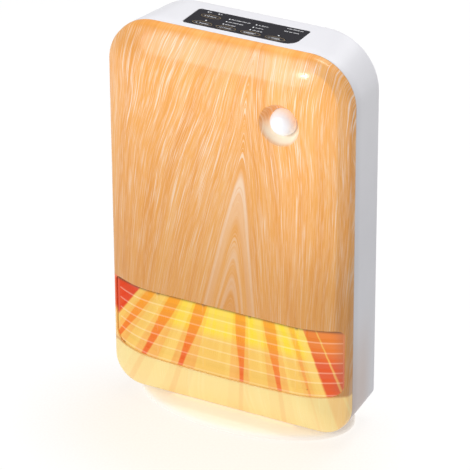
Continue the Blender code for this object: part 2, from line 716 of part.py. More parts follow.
def fan_drive(steel, rubber, bronze, motor_finish):
    """Shaft, bearing, motor and bracket, all on the fan's axis."""
    centre = (FAN_Y, FAN_Z)
    motor_left = DUCT_RIGHT + 8 * MM
    rod("fan_shaft", "X", centre, SHAFT_RADIUS, DUCT_LEFT - 7 * MM, motor_left + 6 * MM, steel, sides=20)
    bush = [(SHAFT_RADIUS + 0.1 * MM, DUCT_LEFT - 8.5 * MM), (5 * MM, DUCT_LEFT - 8.5 * MM),
            (5 * MM, DUCT_LEFT - 4.5 * MM), (SHAFT_RADIUS + 0.1 * MM, DUCT_LEFT - 4.5 * MM)]
    turned("fan_bearing", "X", centre, bush, bronze, sides=20)
    ring = [(5.3 * MM, DUCT_LEFT - 9 * MM), (10 * MM, DUCT_LEFT - 9 * MM),
            (10 * MM, DUCT_LEFT - 2.8 * MM), (5.3 * MM, DUCT_LEFT - 2.8 * MM)]
    turned("bearing_holder", "X", centre, ring, rubber, sides=20)

    motor = stack("fan_motor", "X", centre,
                  [(7 * MM, motor_left), (7 * MM, motor_left + 2 * MM), (18 * MM, motor_left + 2 * MM),
                   (19 * MM, motor_left + 3 * MM), (19 * MM, motor_left + 29 * MM), (17 * MM, motor_left + 31 * MM)],
                  motor_finish, sides=24)
    cut(motor, rod("motor_bore", "X", centre, SHAFT_RADIUS + 0.1 * MM, motor_left - 2 * MM, motor_left + 7 * MM,
                   sides=20))
    plate_left = DUCT_RIGHT + 2.5 * MM + GAP
    outline = rounded_box((FAN_Y - 24 * MM, FAN_Z - 22 * MM), (FAN_Y + 24 * MM, FAN_Z + 22 * MM), (6 * MM,) * 4)
    bracket = prism("motor_bracket", outline, "X", plate_left, plate_left + 1.5 * MM, steel)
    cut(bracket, rod("bracket_bore", "X", centre, 7.4 * MM, plate_left - 5 * MM, plate_left + 5 * MM))
    for number, side in enumerate((-1, 1)):
        arm_y = FAN_Y + side * 22.2 * MM
        arm = block(f"bracket_arm_{number}", (plate_left + 0.5 * MM, arm_y - 0.8 * MM, FAN_Z - 8 * MM),
                    (motor_left + 24 * MM, arm_y + 0.8 * MM, FAN_Z + 8 * MM))
        join(bracket, arm)


# Heating element --------------------------------------------------------------------------------


def heating_element(aluminium, ceramic, plastic, brass):
    """Three fin rows with two ceramic heater bars between them, held in two end frames."""
    low = CORE_LOW
    for number in (1, 2, 3):
        fin_row(number, low, aluminium)
        low += FIN_HEIGHT + GAP
        if number < 3:
            block(f"ceramic_bar_{number}", (CORE_LEFT, CORE_FRONT, low), (CORE_RIGHT, CORE_BACK, low + BAR_HEIGHT),
                  ceramic)
            low += BAR_HEIGHT + GAP
    high = low - GAP
    for name, x_low, x_high in (("heater_frame_left", DUCT_LEFT + GAP, CORE_LEFT - GAP),
                                ("heater_frame_right", CORE_RIGHT + GAP, DUCT_RIGHT - GAP)):
        block(name, (x_low, CORE_FRONT, CORE_LOW), (x_high, CORE_BACK, high), plastic)
    for name, number in (("heater_terminal_live", 1), ("heater_terminal_neutral", 2)):
        z = CORE_LOW + number * (FIN_HEIGHT + GAP) + (number - 1) * (BAR_HEIGHT + GAP) + BAR_HEIGHT / 2
        block(name, (DUCT_RIGHT + 2.5 * MM + GAP, CORE_FRONT + 4 * MM, z - 3 * MM),
              (DUCT_RIGHT + 12 * MM, CORE_FRONT + 4.8 * MM, z + 3 * MM), brass)


def fin_row(number, low, material):
    """One fin row: a comb of thin upright fins joined by a strip along its middle."""
    pitch = (CORE_RIGHT - CORE_LEFT) / FIN_COUNT
    fin = 0.8 * MM
    columns = []
    for position in range(FIN_COUNT):
        start = CORE_LEFT + (position + 0.5) * pitch - fin / 2
        columns += [start, start + fin]
    rows = [low, low + FIN_HEIGHT / 2 - 0.5 * MM, low + FIN_HEIGHT / 2 + 0.5 * MM, low + FIN_HEIGHT]

    def filled(i, j, k):
        return i % 2 == 0 or k == 1

    return grid_solid(f"fin_row_{number}", (columns, [CORE_FRONT, CORE_BACK], rows), filled, material)


def protection(steel, white):
    """Thermal cutout and one-shot fuse on the air path's front wall."""
    stack("thermal_cutout", "Y", (-60 * MM, 136 * MM),
          [(8 * MM, 4.4 * MM), (8 * MM, 8 * MM), (5.5 * MM, 8 * MM), (5.5 * MM, 11 * MM)], steel)
    stack("thermal_fuse", "X", (6.6 * MM, 134 * MM),
          [(0.6 * MM, 10 * MM), (0.6 * MM, 16 * MM), (1.9 * MM, 16 * MM), (1.9 * MM, 27 * MM),
           (0.6 * MM, 27 * MM), (0.6 * MM, 33 * MM)], white, sides=12)


def electronics(green, dark):
    """Mains board with its relay."""
    block("power_board", (-110 * MM, 2 * MM, 215 * MM), (-24 * MM, 3.6 * MM, 320 * MM), green)
    block("relay", (-100 * MM, 3.9 * MM, 226 * MM), (-80 * MM, 19 * MM, 252 * MM), dark)


# Back -------------------------------------------------------------------------------------------


GLAND = (92 * MM, 62 * MM)
GLAND_BORE = 3.6 * MM
GLAND_NECK = 6.7 * MM
GLAND_FLANGE = 9.5 * MM
SLOTS = 13


def intake_cover(material):
    """Slotted cover that closes the air intake, flush with the back."""
    columns = [-INTAKE_HALF, -80 * MM, -27.5 * MM, -25.5 * MM, 25.5 * MM, 27.5 * MM, 80 * MM, INTAKE_HALF]
    margin = 9 * MM
    pitch = (INTAKE_HIGH - INTAKE_LOW - 2 * margin) / (SLOTS - 0.5)
    rows = [INTAKE_LOW]
    for slot in range(SLOTS):
        start = INTAKE_LOW + margin + slot * pitch
        rows += [start, start + pitch / 2]
    rows.append(INTAKE_HIGH)

    def filled(i, j, k):
        return i % 2 == 0 or k % 2 == 0

    return grid_solid("intake_cover", (columns, [BACK_FACE - COVER_THICK, BACK_FACE], rows), filled, material)


def back_pieces(white, mesh_finish, dark):
    """Intake cover, dust filter, its frame, the handle cup and the cord gland."""
    intake_cover(white)
    cover_inside = BACK_FACE - COVER_THICK
    block("dust_filter", (-81 * MM, cover_inside - 1.8 * MM, INTAKE_LOW + 6 * MM),
          (81 * MM, cover_inside - GAP, INTAKE_HIGH - 6 * MM), mesh_finish)
    columns = [-96 * MM, -84 * MM, 84 * MM, 96 * MM]
    rows = [INTAKE_LOW - 6 * MM, INTAKE_LOW + 4 * MM, INTAKE_HIGH - 4 * MM, INTAKE_HIGH + 6 * MM]
    grid_solid("filter_frame", (columns, [57 * MM, 60.4 * MM], rows), lambda i, j, k: not i == k == 1, white)

    outside = rounded_box((-HANDLE_HALF - CUP_WALL, HANDLE_LOW - CUP_WALL),
                          (HANDLE_HALF + CUP_WALL, HANDLE_HIGH + CUP_WALL), (HANDLE_CORNER + CUP_WALL / 2,) * 4)
    inside = rounded_box((-HANDLE_HALF, HANDLE_LOW), (HANDLE_HALF, HANDLE_HIGH), (HANDLE_CORNER,) * 4)
    cup = prism("handle_cup", outside, "Y", CUP_LOW, CUP_HIGH, white)
    cut(cup, prism("cup_cutter", inside, "Y", CUP_LOW + CUP_WALL, CUP_HIGH + PAST))
    inner_end, seat, outer_end = 55 * MM, BACK_FACE + GAP, BACK_FACE + 2.2 * MM
    gland = [(GLAND_BORE, inner_end), (GLAND_NECK, inner_end), (GLAND_NECK, seat), (GLAND_FLANGE, seat),
             (GLAND_FLANGE - 0.5 * MM, outer_end), (GLAND_BORE, outer_end)]
    turned("cord_gland", "Y", GLAND, gland, dark, sides=24)


# Stand ------------------------------------------------------------------------------------------


HEAD_SEAT = 4.3 * MM  # height of the face under each base screw's head
BASE_SCREWS = ((-52 * MM, 28 * MM), (52 * MM, 28 * MM))
BASE_LEVELS = ((1.6, 1.0), (2.8, 0.0), (4.8, 0.0), (7.0, 2.4), (8.6, 10.0))  # height and inset, in mm


def casing_bottom(y):
    """Height of the casing's sloping underside at depth y."""
    return BODY_LOW + (BACK_LOW - BODY_LOW) * y / BACK_DEPTH


def stand(white, rubber, steel):
    """Oval base plate, the wedge between it and the body, four feet and two screws."""
    loops = []
    for z, inset in BASE_LEVELS:
        oval = [((BASE_HALF_LENGTH - inset * MM) * x, BASE_Y + (BASE_HALF_DEPTH - inset * MM) * y, z * MM)
                for x, y in circle(1.0, sides=40)]
        loops.append(oval)
    base = loft("base_plate", loops, white)
    for number, centre in enumerate(FEET, 1):
        cut(base, rod(f"foot_recess_{number}", "Z", centre, FOOT_RADIUS + GAP, -5 * MM, 3 * MM, sides=20))
        stack(f"rubber_foot_{number}", "Z", centre,
              [(FOOT_RADIUS - 0.8 * MM, 0), (FOOT_RADIUS, 0.8 * MM), (FOOT_RADIUS, 2.7 * MM)], rubber, sides=20)

    low = BASE_TOP + GAP
    slope = [(PEDESTAL_FRONT, low), (PEDESTAL_BACK, low), (PEDESTAL_BACK, casing_bottom(PEDESTAL_BACK) - GAP),
             (PEDESTAL_FRONT, casing_bottom(PEDESTAL_FRONT) - GAP)]
    pedestal = prism("base_pedestal", slope, "X", -PEDESTAL_HALF, PEDESTAL_HALF, white)
    for target in (base, pedestal):
        cut(target, rod(f"{target.name}_plunger", "Z", PLUNGER, PLUNGER_RADIUS + 0.6 * MM, -PAST, 40 * MM, sides=16))
    for number, centre in enumerate(BASE_SCREWS, 1):
        for target in (base, pedestal):
            cut(target, rod(f"{target.name}_hole_{number}", "Z", centre, CLEAR_RADIUS, -PAST, 40 * MM, sides=12))
        cut(base, rod(f"head_recess_{number}", "Z", centre, RECESS_RADIUS, -PAST, HEAD_SEAT + GAP, sides=16))
        screw(f"base_screw_{number}", "Z", centre, HEAD_SEAT - HEAD_HEIGHT, 1, 22 * MM, steel)


def screw(name, axis, centre, head_start, direction, length, material):
    """Pan-head screw: a round head, then a plain shank."""
    head = head_start + direction * HEAD_HEIGHT
    tip = head + direction * length
    steps = [(HEAD_RADIUS - 0.2 * MM, head_start), (HEAD_RADIUS, head_start + direction * 0.6 * MM),
             (HEAD_RADIUS, head), (SHANK_RADIUS, head), (SHANK_RADIUS, tip - direction * 1 * MM),
             (SHANK_RADIUS / 2, tip)]
    return stack(name, axis, centre, steps, material, sides=12)


def tip_over(dark, white, steel):
    """Tip-over switch: a plunger that rests on the floor, its spring and its switch housing."""
    x, y = PLUNGER
    housing_low, housing_high = 30 * MM, 46 * MM
    housing = block("tip_switch", (x - 12 * MM, y - 8 * MM, housing_low),
                    (x + 12 * MM, y + 8 * MM, housing_high), dark)
    cut(housing, rod("tip_bore", "Z", PLUNGER, 5.2 * MM, housing_low + 2 * MM, housing_high - 2 * MM))
    cut(housing, rod("tip_mouth", "Z", PLUNGER, PLUNGER_RADIUS + 0.4 * MM, housing_low - PAST,
                     housing_low + 3 * MM))
    collar = housing_low + 6.4 * MM
    stack("tip_plunger", "Z", PLUNGER,
          [(1.6 * MM, 0.2 * MM), (PLUNGER_RADIUS, 1.2 * MM), (PLUNGER_RADIUS, collar), (4.6 * MM, collar),
           (4.6 * MM, collar + 1.4 * MM), (1.2 * MM, collar + 1.4 * MM), (1.2 * MM, housing_high - 3.6 * MM)],
          white, sides=16)
    coil("tip_spring", PLUNGER, 3 * MM, 0.4 * MM, collar + 2 * MM, housing_high - 2.8 * MM, 3, steel)


def coil(name, centre, radius, wire_radius, low, high, turns, material):
    """A coil spring, as one closed round-wire helix."""
    loops = []
    steps = 10 * turns
    for step in range(steps + 1):
        angle = 2 * pi * turns * step / steps
        height = low + (high - low) * step / steps
        loop = []
        for out, up in circle(wire_radius, sides=6):
            reach = radius + out
            loop.append((centre[0] + reach * cos(angle), centre[1] + reach * sin(angle), height + up))
        loops.append(loop)
    return loft(name, loops, material)


LEAD_RADIUS = 1.1 * MM


def leads(red, blue, grey):
    """Internal leads from the mains board to the heating element and the motor."""
    ends = DUCT_RIGHT + 12.8 * MM
    tab_y = CORE_FRONT + 4.4 * MM
    low = CORE_LOW + FIN_HEIGHT + GAP + BAR_HEIGHT / 2
    high = low + FIN_HEIGHT + BAR_HEIGHT + 2 * GAP
    wire("lead_live", [(-40 * MM, 6 * MM, 228 * MM), (-30 * MM, 12 * MM, 212 * MM), (20 * MM, 14 * MM, 206 * MM),
                       (84 * MM, 8 * MM, 206 * MM), (108 * MM, 2.5 * MM, 172 * MM), (110 * MM, 12 * MM, 124 * MM),
                       (106 * MM, 16 * MM, 100 * MM), (ends, tab_y, low)], LEAD_RADIUS, red)
    wire("lead_neutral", [(-40 * MM, 6 * MM, 236 * MM), (-28 * MM, 12 * MM, 218 * MM), (20 * MM, 16 * MM, 212 * MM),
                          (86 * MM, 10 * MM, 212 * MM), (114 * MM, 2.5 * MM, 180 * MM), (116 * MM, 8 * MM, 136 * MM),
                          (104 * MM, tab_y - 1 * MM, high + 3 * MM), (ends, tab_y, high)], LEAD_RADIUS, blue)
    wire("lead_motor", [(-40 * MM, 6 * MM, 244 * MM), (-20 * MM, 16 * MM, 226 * MM), (40 * MM, 24 * MM, 220 * MM),
                        (90 * MM, 28 * MM, 216 * MM), (104 * MM, FAN_Y, 200 * MM),
                        (104 * MM, FAN_Y, FAN_Z + 19.6 * MM)], LEAD_RADIUS, grey)


def settle():
    """Puts the origin under the base plate's middle, and each moving piece's own origin on its joint's axis."""
    pivots = {name: (*centre, BODY_HIGH) for name, centre in KEYS.items()}
    pivots["fan_rotor"] = pivots["fan_shaft"] = ((DUCT_LEFT + DUCT_RIGHT) / 2, FAN_Y, FAN_Z)
    pivots["tip_plunger"] = (*PLUNGER, 0)
    pivots["intake_cover"] = pivots["dust_filter"] = (0, BACK_FACE, INTAKE_LOW)
    for made in bpy.data.objects:
        pivot = Vector(pivots.get(made.name, (0, 0, 0)))
        made.data.transform(Matrix.Translation(-pivot))
        made.location = pivot - Vector((0, BASE_Y, 0))


def build():
    for old in list(bpy.data.objects):
        bpy.data.objects.remove(old)

    wood = finish("wood_grain", (0.80, 0.45, 0.19), 0.35)
    white = finish("white_plastic", (0.80, 0.80, 0.82), 0.4)
    black = finish("black_plate", (0.02, 0.02, 0.025), 0.25)
    key_black = finish("key_black", (0.03, 0.03, 0.035), 0.3)
    light = finish("light_guide", (0.9, 0.9, 0.85), 0.3)
    lens = finish("lens_white", (0.9, 0.92, 0.94), 0.35)
    louvre = finish("louvre_plastic", (0.62, 0.52, 0.42), 0.45)
    duct = finish("duct_plastic", (0.35, 0.35, 0.36), 0.5)
    dark = finish("dark_plastic", (0.06, 0.06, 0.065), 0.5)
    board = finish("circuit_board", (0.04, 0.22, 0.10), 0.45)
    aluminium = finish("aluminium", (0.78, 0.79, 0.80), 0.35, 1.0)
    steel = finish("steel", (0.60, 0.61, 0.63), 0.3, 1.0)
    brass = finish("brass", (0.75, 0.58, 0.28), 0.3, 1.0)
    ceramic = finish("ceramic", (0.86, 0.84, 0.80), 0.6)
    rubber = finish("rubber", (0.05, 0.05, 0.05), 0.8)
    motor = finish("motor_steel", (0.42, 0.43, 0.45), 0.4, 1.0)
    filter_mesh = finish("filter_mesh", (0.25, 0.26, 0.28), 0.7)
    red = finish("lead_red", (0.6, 0.05, 0.04), 0.5)
    blue = finish("lead_blue", (0.05, 0.12, 0.45), 0.5)
    grey = finish("lead_grey", (0.3, 0.3, 0.32), 0.5)

    front_panel(wood)
    rear_casing(white)
    control_plate(black)
    for name, centre in KEYS.items():
        key(name, centre, key_black)
    key_board(board)
    light_guide(light)
    sensor_lens(lens)
    sensor_board(board)
    outlet_louvre(louvre)
    outlet_surround(duct)
    duct_pieces(duct)
    fan_rotor(dark)
    fan_drive(steel, rubber, brass, motor)
    heating_element(aluminium, ceramic, duct, brass)
    protection(steel, ceramic)
    electronics(board, dark)
    back_pieces(white, filter_mesh, dark)
    stand(white, rubber, steel)
    for number, (x, z) in enumerate(POSTS, 1):
        screw(f"casing_screw_{number}", "Y", (x, z), WELL_FLOOR + GAP + HEAD_HEIGHT, -1, 15 * MM, steel)
    tip_over(dark, white, steel)
    leads(red, blue, grey)
    settle()


build()
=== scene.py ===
"""Looks for the slim ceramic space heater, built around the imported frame.

Everything is in metres in the part's own frame: +X right, +Y back, +Z up, front towards -Y.
"""

from math import cos, hypot, pi, radians, sin, tan

import bmesh
import bpy
from mathutils import Matrix, Vector
from mathutils.geometry import delaunay_2d_cdt


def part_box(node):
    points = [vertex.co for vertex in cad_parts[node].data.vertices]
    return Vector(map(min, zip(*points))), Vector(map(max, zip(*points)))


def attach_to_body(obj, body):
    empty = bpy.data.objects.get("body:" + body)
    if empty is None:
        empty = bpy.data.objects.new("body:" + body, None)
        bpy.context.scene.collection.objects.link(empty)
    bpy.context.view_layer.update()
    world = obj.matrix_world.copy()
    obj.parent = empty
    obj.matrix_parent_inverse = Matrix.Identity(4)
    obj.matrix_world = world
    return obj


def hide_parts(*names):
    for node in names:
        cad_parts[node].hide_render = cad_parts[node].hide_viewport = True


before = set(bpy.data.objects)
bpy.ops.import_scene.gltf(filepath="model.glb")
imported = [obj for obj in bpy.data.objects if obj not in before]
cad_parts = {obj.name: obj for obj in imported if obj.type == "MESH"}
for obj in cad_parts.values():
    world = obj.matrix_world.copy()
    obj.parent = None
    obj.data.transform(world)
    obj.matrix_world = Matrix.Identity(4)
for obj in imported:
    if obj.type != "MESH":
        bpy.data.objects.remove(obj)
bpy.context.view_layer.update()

MM = 0.001
GAP = 0.3 * MM

# Places read from the frame --------

def corners(node):
    """The lowest and highest corner of a CAD node's box."""
    return [Vector(corner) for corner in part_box(node)]


def middle_of(node):
    """The middle of a CAD node's box."""
    low, high = corners(node)
    return (low + high) / 2


CASING_LOW, CASING_HIGH = corners("rear_casing")
PANEL_LOW = corners("front_panel")[0]
PLATE_LOW, PLATE_HIGH = corners("control_plate")
INTAKE_LOW, INTAKE_HIGH = corners("intake_cover")
CUP_LOW, CUP_HIGH = corners("handle_cup")
BASE_LOW, BASE_HIGH = corners("base_plate")
LOUVRE_LOW, LOUVRE_HIGH = corners("outlet_louvre")
LENS_LOW, LENS_HIGH = corners("sensor_lens")

SEAM = CASING_LOW.y
HALF = CASING_HIGH.x
BODY_LOW = CASING_LOW.z
BODY_HIGH = CASING_HIGH.z
FRONT = PANEL_LOW.y
BACK = CASING_HIGH.y

# Shape of the body, as in the CAD part
CORNER_TOP = 47 * MM
CORNER_LOW = 32 * MM
TAPER_DEPTH = 57.4 * MM
BACK_HALF = 124.3 * MM
BACK_LOW = 26 * MM
BACK_CORNER_TOP = 54 * MM
BACK_CORNER_LOW = 9 * MM
BACK_ROUND = 6 * MM
BACK_INSET = 6.4 * MM
RIM_DEPTH = 7 * MM
CROWN_WIDTH = 55 * MM
CROWN_RADIUS = 86 * MM
PANEL_WALL = 2.4 * MM
CASING_WALL = 2.5 * MM

OUTLET_HALF = 125.5 * MM
OUTLET_LOW = BODY_LOW + 43 * MM
OUTLET_HIGH = BODY_LOW + 119.5 * MM
OUTLET_BOW = 5 * MM
OUTLET_TOP_RADIUS = 6 * MM
OUTLET_LOW_RADIUS = 14 * MM

SENSOR = ((LENS_LOW.x + LENS_HIGH.x) / 2, (LENS_LOW.z + LENS_HIGH.z) / 2)
DISH_RADIUS = 20.6 * MM
DISH_DEPTH = 11.3 * MM
LENS_RADIUS = 13.2 * MM

ARC_STEPS = 16
SIDE_STEPS = 36
END_STEPS = 24

CAMERA_AZIMUTH = radians(28.446)
CAMERA_ELEVATION = radians(27.194)

KEY_BODIES = {
    "key_timer": "timer_key",
    "key_auto": "auto_key",
    "key_mode": "mode_key",
    "key_sensor": "sensor_key",
    "key_power": "power_key",
}

WOOD_DEEP = (0.850, 0.350, 0.068)
WOOD_BODY = (0.910, 0.408, 0.094)
WOOD_LIGHT = (0.935, 0.465, 0.135)
WOOD_LIMED = (0.985, 0.735, 0.520)
WOOD_PORE = (0.640, 0.270, 0.070)


# Node graph helper --------

def sum_of(operation):
    """A method that puts a Math node after a value."""
    return lambda value, *others: value.surface.math(operation, value, *others)


class Value:
    """A node's output, which can be written in sums."""

    __add__ = __radd__ = sum_of("ADD")
    __sub__ = sum_of("SUBTRACT")
    __mul__ = __rmul__ = sum_of("MULTIPLY")
    __truediv__ = sum_of("DIVIDE")
    __pow__ = sum_of("POWER")
    __abs__ = sum_of("ABSOLUTE")
    root = sum_of("SQRT")
    sine = sum_of("SINE")
    at_least = sum_of("MAXIMUM")
    at_most = sum_of("MINIMUM")

    def __init__(self, surface, socket):
        self.surface = surface
        self.socket = socket

    def __rsub__(self, other):
        return self.surface.math("SUBTRACT", other, self)

    def output(self, index):
        """Another output of the same node."""
        return Value(self.surface, self.socket.node.outputs[index])


class Surface:
    """A Principled material and short ways to add nodes in front of it."""

    def __init__(self, name, colour=(0.8, 0.8, 0.8), roughness=0.5, metallic=0.0):
        self.material = bpy.data.materials.new(name)
        self.material.use_nodes = True
        self.tree = self.material.node_tree
        self.shader = self.tree.nodes["Principled BSDF"]
        self.set("Base Color", (*colour, 1))
        self.set("Roughness", roughness)
        self.set("Metallic", metallic)
        self.coordinates = None

    def set(self, socket, value):
        self.shader.inputs[socket].default_value = value

    def feed(self, socket, source):
        self.tree.links.new(source.socket, self.shader.inputs[socket])

    def add(self, kind, inputs, output=0, **settings):
        """A new node's output."""
        node = self.tree.nodes.new(kind)
        for key, value in settings.items():
            setattr(node, key, value)
        for key, value in inputs.items():
            if isinstance(value, Value):
                self.tree.links.new(value.socket, node.inputs[key])
            else:
                node.inputs[key].default_value = value
        return Value(self, node.outputs[output])

    def place(self):
        """The point in the part's frame, in metres."""
        if self.coordinates is None:
            self.coordinates = self.add("ShaderNodeTexCoord", {}, "Object")
        return self.coordinates

    def axes(self):
        """x, y and z in millimetres."""
        scaled = self.add("ShaderNodeVectorMath", {0: self.place(), "Scale": 1 / MM}, operation="SCALE")
        split = self.add("ShaderNodeSeparateXYZ", {0: scaled})
        return split, split.output(1), split.output(2)

    def math(self, operation, *values, clamp=False):
        return self.add("ShaderNodeMath", dict(enumerate(values)), operation=operation, use_clamp=clamp)

    def vector(self, x=0.0, y=0.0, z=0.0):
        return self.add("ShaderNodeCombineXYZ", {0: x, 1: y, 2: z})

    def noise(self, vector, scale=1.0, detail=2.0, roughness=0.5):
        inputs = {"Vector": vector, "Scale": scale, "Detail": detail, "Roughness": roughness}
        return self.add("ShaderNodeTexNoise", inputs)

    def step(self, value, low, high, start=0.0, end=1.0):
        """A smooth step from start to end as value goes from low to high."""
        inputs = {"Value": value, "From Min": low, "From Max": high, "To Min": start, "To Max": end}
        return self.add("ShaderNodeMapRange", inputs, interpolation_type="SMOOTHSTEP")

    def mix(self, factor, first, second, blend="MIX"):
        first, second = ((*colour, 1) if isinstance(colour, tuple) else colour for colour in (first, second))
        inputs = {0: factor, 6: first, 7: second}
        return self.add("ShaderNodeMix", inputs, 2, data_type="RGBA", blend_type=blend)

    def tint(self, value, low, high, first, second):
        """Takes the base colour from first to second as value goes from low to high."""
        self.feed("Base Color", self.mix(self.step(value, low, high), first, second))

    def glow(self, colour, strength=1.0):
        """Light of the surface's own, in a plain colour or in one from a node."""
        if isinstance(colour, Value):
            self.feed("Emission Color", colour)
        else:
            self.set("Emission Color", (*colour, 1))
        self.set("Emission Strength", strength)

    def ramp(self, factor, stops):
        made = self.add("ShaderNodeValToRGB", {0: factor})
        elements = made.socket.node.color_ramp.elements
        while len(elements) < len(stops):
            elements.new(0.5)
        for element, (position, colour) in zip(elements, stops):
            element.position = position
            element.color = (*colour, 1)
        return made

    def bump(self, height, strength=0.3, distance=0.05 * MM):
        values = {"Height": height, "Strength": strength, "Distance": distance}
        self.feed("Normal", self.add("ShaderNodeBump", values))

    def grain(self, scale, roughness, spread, strength):
        """Fine grain that varies the sheen and stands out a little."""
        fine = self.noise(self.place(), scale)
        self.feed("Roughness", self.step(fine, 0.3, 0.7, roughness + spread[0], roughness + spread[1]))
        self.bump(fine, strength)


# Materials --------

# Wood print. Sizes in mm; heights above the body's lower edge.
ARCH_FOOT, ARCH_TIP = 70.0, 262.0
ARCH_CLOSING = 30.0  # how far the arches close in from foot to tip
ARCH_AXIS = 4.0
ARCH_LINES = (  # distance from the arches' axis at their foot, and how pale the grain is there
    (16.5, 0.0), (18.0, 0.85), (19.4, 0.85), (20.6, 0.0), (22.0, 0.05), (23.0, 0.9), (24.2, 0.7), (25.4, 0.0),
    (28.0, 0.05), (30.0, 0.5), (33.4, 0.6), (34.2, 1.0), (35.6, 1.0), (37.2, 0.1), (43.0, 0.0),
)
ARCH_SPAN = 43.0
ARCH_ROUND = 6.0
SIDE_BAND = 14.0  # how far in front of the seam the panel's painted shade along its right rim starts


def wood_grain():
    """Light wood print: cathedral arches low in the middle, grain that leans in towards them on their left,
    limed pale threads, painted shade on the right rim, towards the bottom and along the top, painted light on
    the right side and in the sensor dish, and the outlet's painted glow below and left of it."""
    made = Surface("wood_grain_print", roughness=0.44)
    x, y, z = made.axes()
    height = z - BODY_LOW / MM
    near = made.math("POWER", 2.718, ((x - 10.0) / 105.0) ** 2.0 * -1.0)
    above = (height - ARCH_TIP).at_least(0.0)
    closing = ((height - ARCH_FOOT) * (ARCH_CLOSING / (ARCH_TIP - ARCH_FOOT)) + above * -0.03) * near
    sway = made.noise(made.vector(x * 0.012, 3.1, z * 0.006))
    ripple = made.noise(made.vector(x * 0.06, 8.3, z * 0.03))
    leaning = (height - 130.0) * made.step(x, 30.0, 105.0, 0.0, 0.07)
    straight = x - leaning + (sway * 5.0 - 2.5) + (ripple - 0.5)
    aside = closing * -0.6 + (straight - ARCH_AXIS)
    rounding = made.step(height, ARCH_TIP - 5.0, ARCH_TIP + 70.0, ARCH_ROUND, 1.5)
    closing = closing + (ARCH_ROUND - rounding)
    ring = (aside * aside + rounding * rounding).root() + closing
    side = aside * 0.02

    def lines(per_mm, along, roughness=0.55, across=ring):
        return made.noise(made.vector(across * per_mm, z * along, side), 1.0, 2.0, roughness)

    bands = lines(0.13, 0.004)
    drifts = lines(0.22, 0.010, 0.6)
    threads = lines(1.45, 0.018, 0.65)
    hairs = lines(2.1, 0.035, 0.6)
    pores = lines(2.2, 0.12, across=straight)

    tones = ((0.36, WOOD_DEEP), (0.50, WOOD_BODY), (0.64, WOOD_LIGHT))
    colour = made.ramp(bands * 0.65 + threads * 0.35, tones)
    limed = made.step(threads, 0.49, 0.64) * made.step(drifts, 0.42, 0.60, 0.15, 1.0)
    hairy = made.step(hairs, 0.50, 0.64) * made.step(drifts, 0.60, 0.40, 0.30, 0.8)
    arch = made.ramp(ring / ARCH_SPAN, [(place / ARCH_SPAN, (value,) * 3) for place, value in ARCH_LINES])
    inside = made.step(ring, 41.0, 36.0)
    arched = arch * inside * made.step(hairs, 0.30, 0.55, 0.65, 1.0)
    pale = (limed * 0.88).at_least(hairy * 0.62) * (inside * -0.45 + 1.0)
    pale = pale.at_least(arched * 0.82)
    pale = made.math("MULTIPLY", pale, made.step(height, 90.0, 330.0, 0.52, 1.25), clamp=True)
    seam, top = SEAM / MM, BODY_HIGH / MM
    rim = made.step(y, seam - 13.0, seam - 8.0) * made.step(z, top - 9.0, top - 3.0)
    pale = pale * (rim * -0.85 + 1.0)
    colour = made.mix(pale, colour, WOOD_LIMED)
    colour = made.mix(made.step(pores, 0.42, 0.30, 0.0, 0.16), colour, WOOD_PORE)
    # Painted shade: darker towards the bottom and in a band along the top, with painted light on the right
    # side higher up.
    painted_shading = made.step(height, 60.0, 350.0, 0.77, 1.0).at_least(made.step(height, 55.0, 45.0))
    painted_shading = painted_shading * made.step(height, 352.0, 384.0, 1.0, 0.84)
    painted_shading = painted_shading * made.step(x, 25.0, 95.0, 1.0, made.step(height, 150.0, 230.0, 1.0, 1.12))
    colour = made.mix(1.0, colour, made.vector(painted_shading, painted_shading, painted_shading), "MULTIPLY")

    sensor_x, sensor_z, radius = SENSOR[0] / MM, SENSOR[1] / MM, DISH_RADIUS / MM
    dish = ((x - sensor_x) ** 2.0 + (z - sensor_z) ** 2.0).root()
    # Painted light: the sensor dish is paler inside, most towards its lower part.
    dish_painted_light = made.step(dish, radius + 1.0, radius - 2.0)
    dish_painted_light = dish_painted_light * made.step(z, sensor_z + 6.0, sensor_z - 13.0, 0.10, 1.0)
    colour = made.mix(dish_painted_light, colour, (1.0, 0.88, 0.70))

    # Painted glow of the outlet on the wood strip below it, with the painted rays across it and less of it
    # towards the right end.
    across, upward = flat_place(made)
    mask, _, _ = ray_mask(made, across, upward)
    low, high = OUTLET_LOW / MM, OUTLET_HIGH / MM
    edge = x * x * (OUTLET_BOW * MM / OUTLET_HALF**2) + low
    below = made.step(z - edge, 2.0, -1.5)
    painted_warm_tint = made.mix(pale * 0.6 + 0.2, (1.0, 0.775, 0.300), (1.0, 0.900, 0.460))
    painted_warm_tint = made.mix(mask * 0.42, painted_warm_tint, (0.960, 0.500, 0.170))
    colour = made.mix(below * made.step(x, 78.0, 126.0, 0.96, 0.84), colour, painted_warm_tint)
    # Painted glow: red and orange light on the wood left of the outlet.
    left = made.step(x, -116.0, -121.0) * made.step(z, high + 2.0, high - 3.0)
    left = left * made.step(z, edge, low + 10.0)
    painted_red_glow = made.mix(made.step(upward, 99.0, 108.0), (1.0, 0.620, 0.200), (0.860, 0.105, 0.030))
    colour = made.mix(left * 0.92, colour, painted_red_glow)
    # Painted shade along the right rim, kept off the strip below the outlet.
    painted_rim_shade = made.step(y, seam - SIDE_BAND - 0.8, seam - SIDE_BAND + 0.8) * made.step(x, 60.0, 100.0)
    painted_rim_shade = painted_rim_shade * (1.0 - below)
    colour = made.mix(painted_rim_shade, colour, made.mix(1.0, colour, (0.84, 0.86, 0.94), "MULTIPLY"))
    made.feed("Base Color", colour)
    made.feed("Roughness", made.step(pale, 0.0, 0.6, 0.40, 0.50))
    made.set("Specular IOR Level", 0.25)
    made.set("Coat Weight", 0.28)
    made.set("Coat Roughness", 0.13)
    made.bump(threads + pores, 0.05)
    return made.material


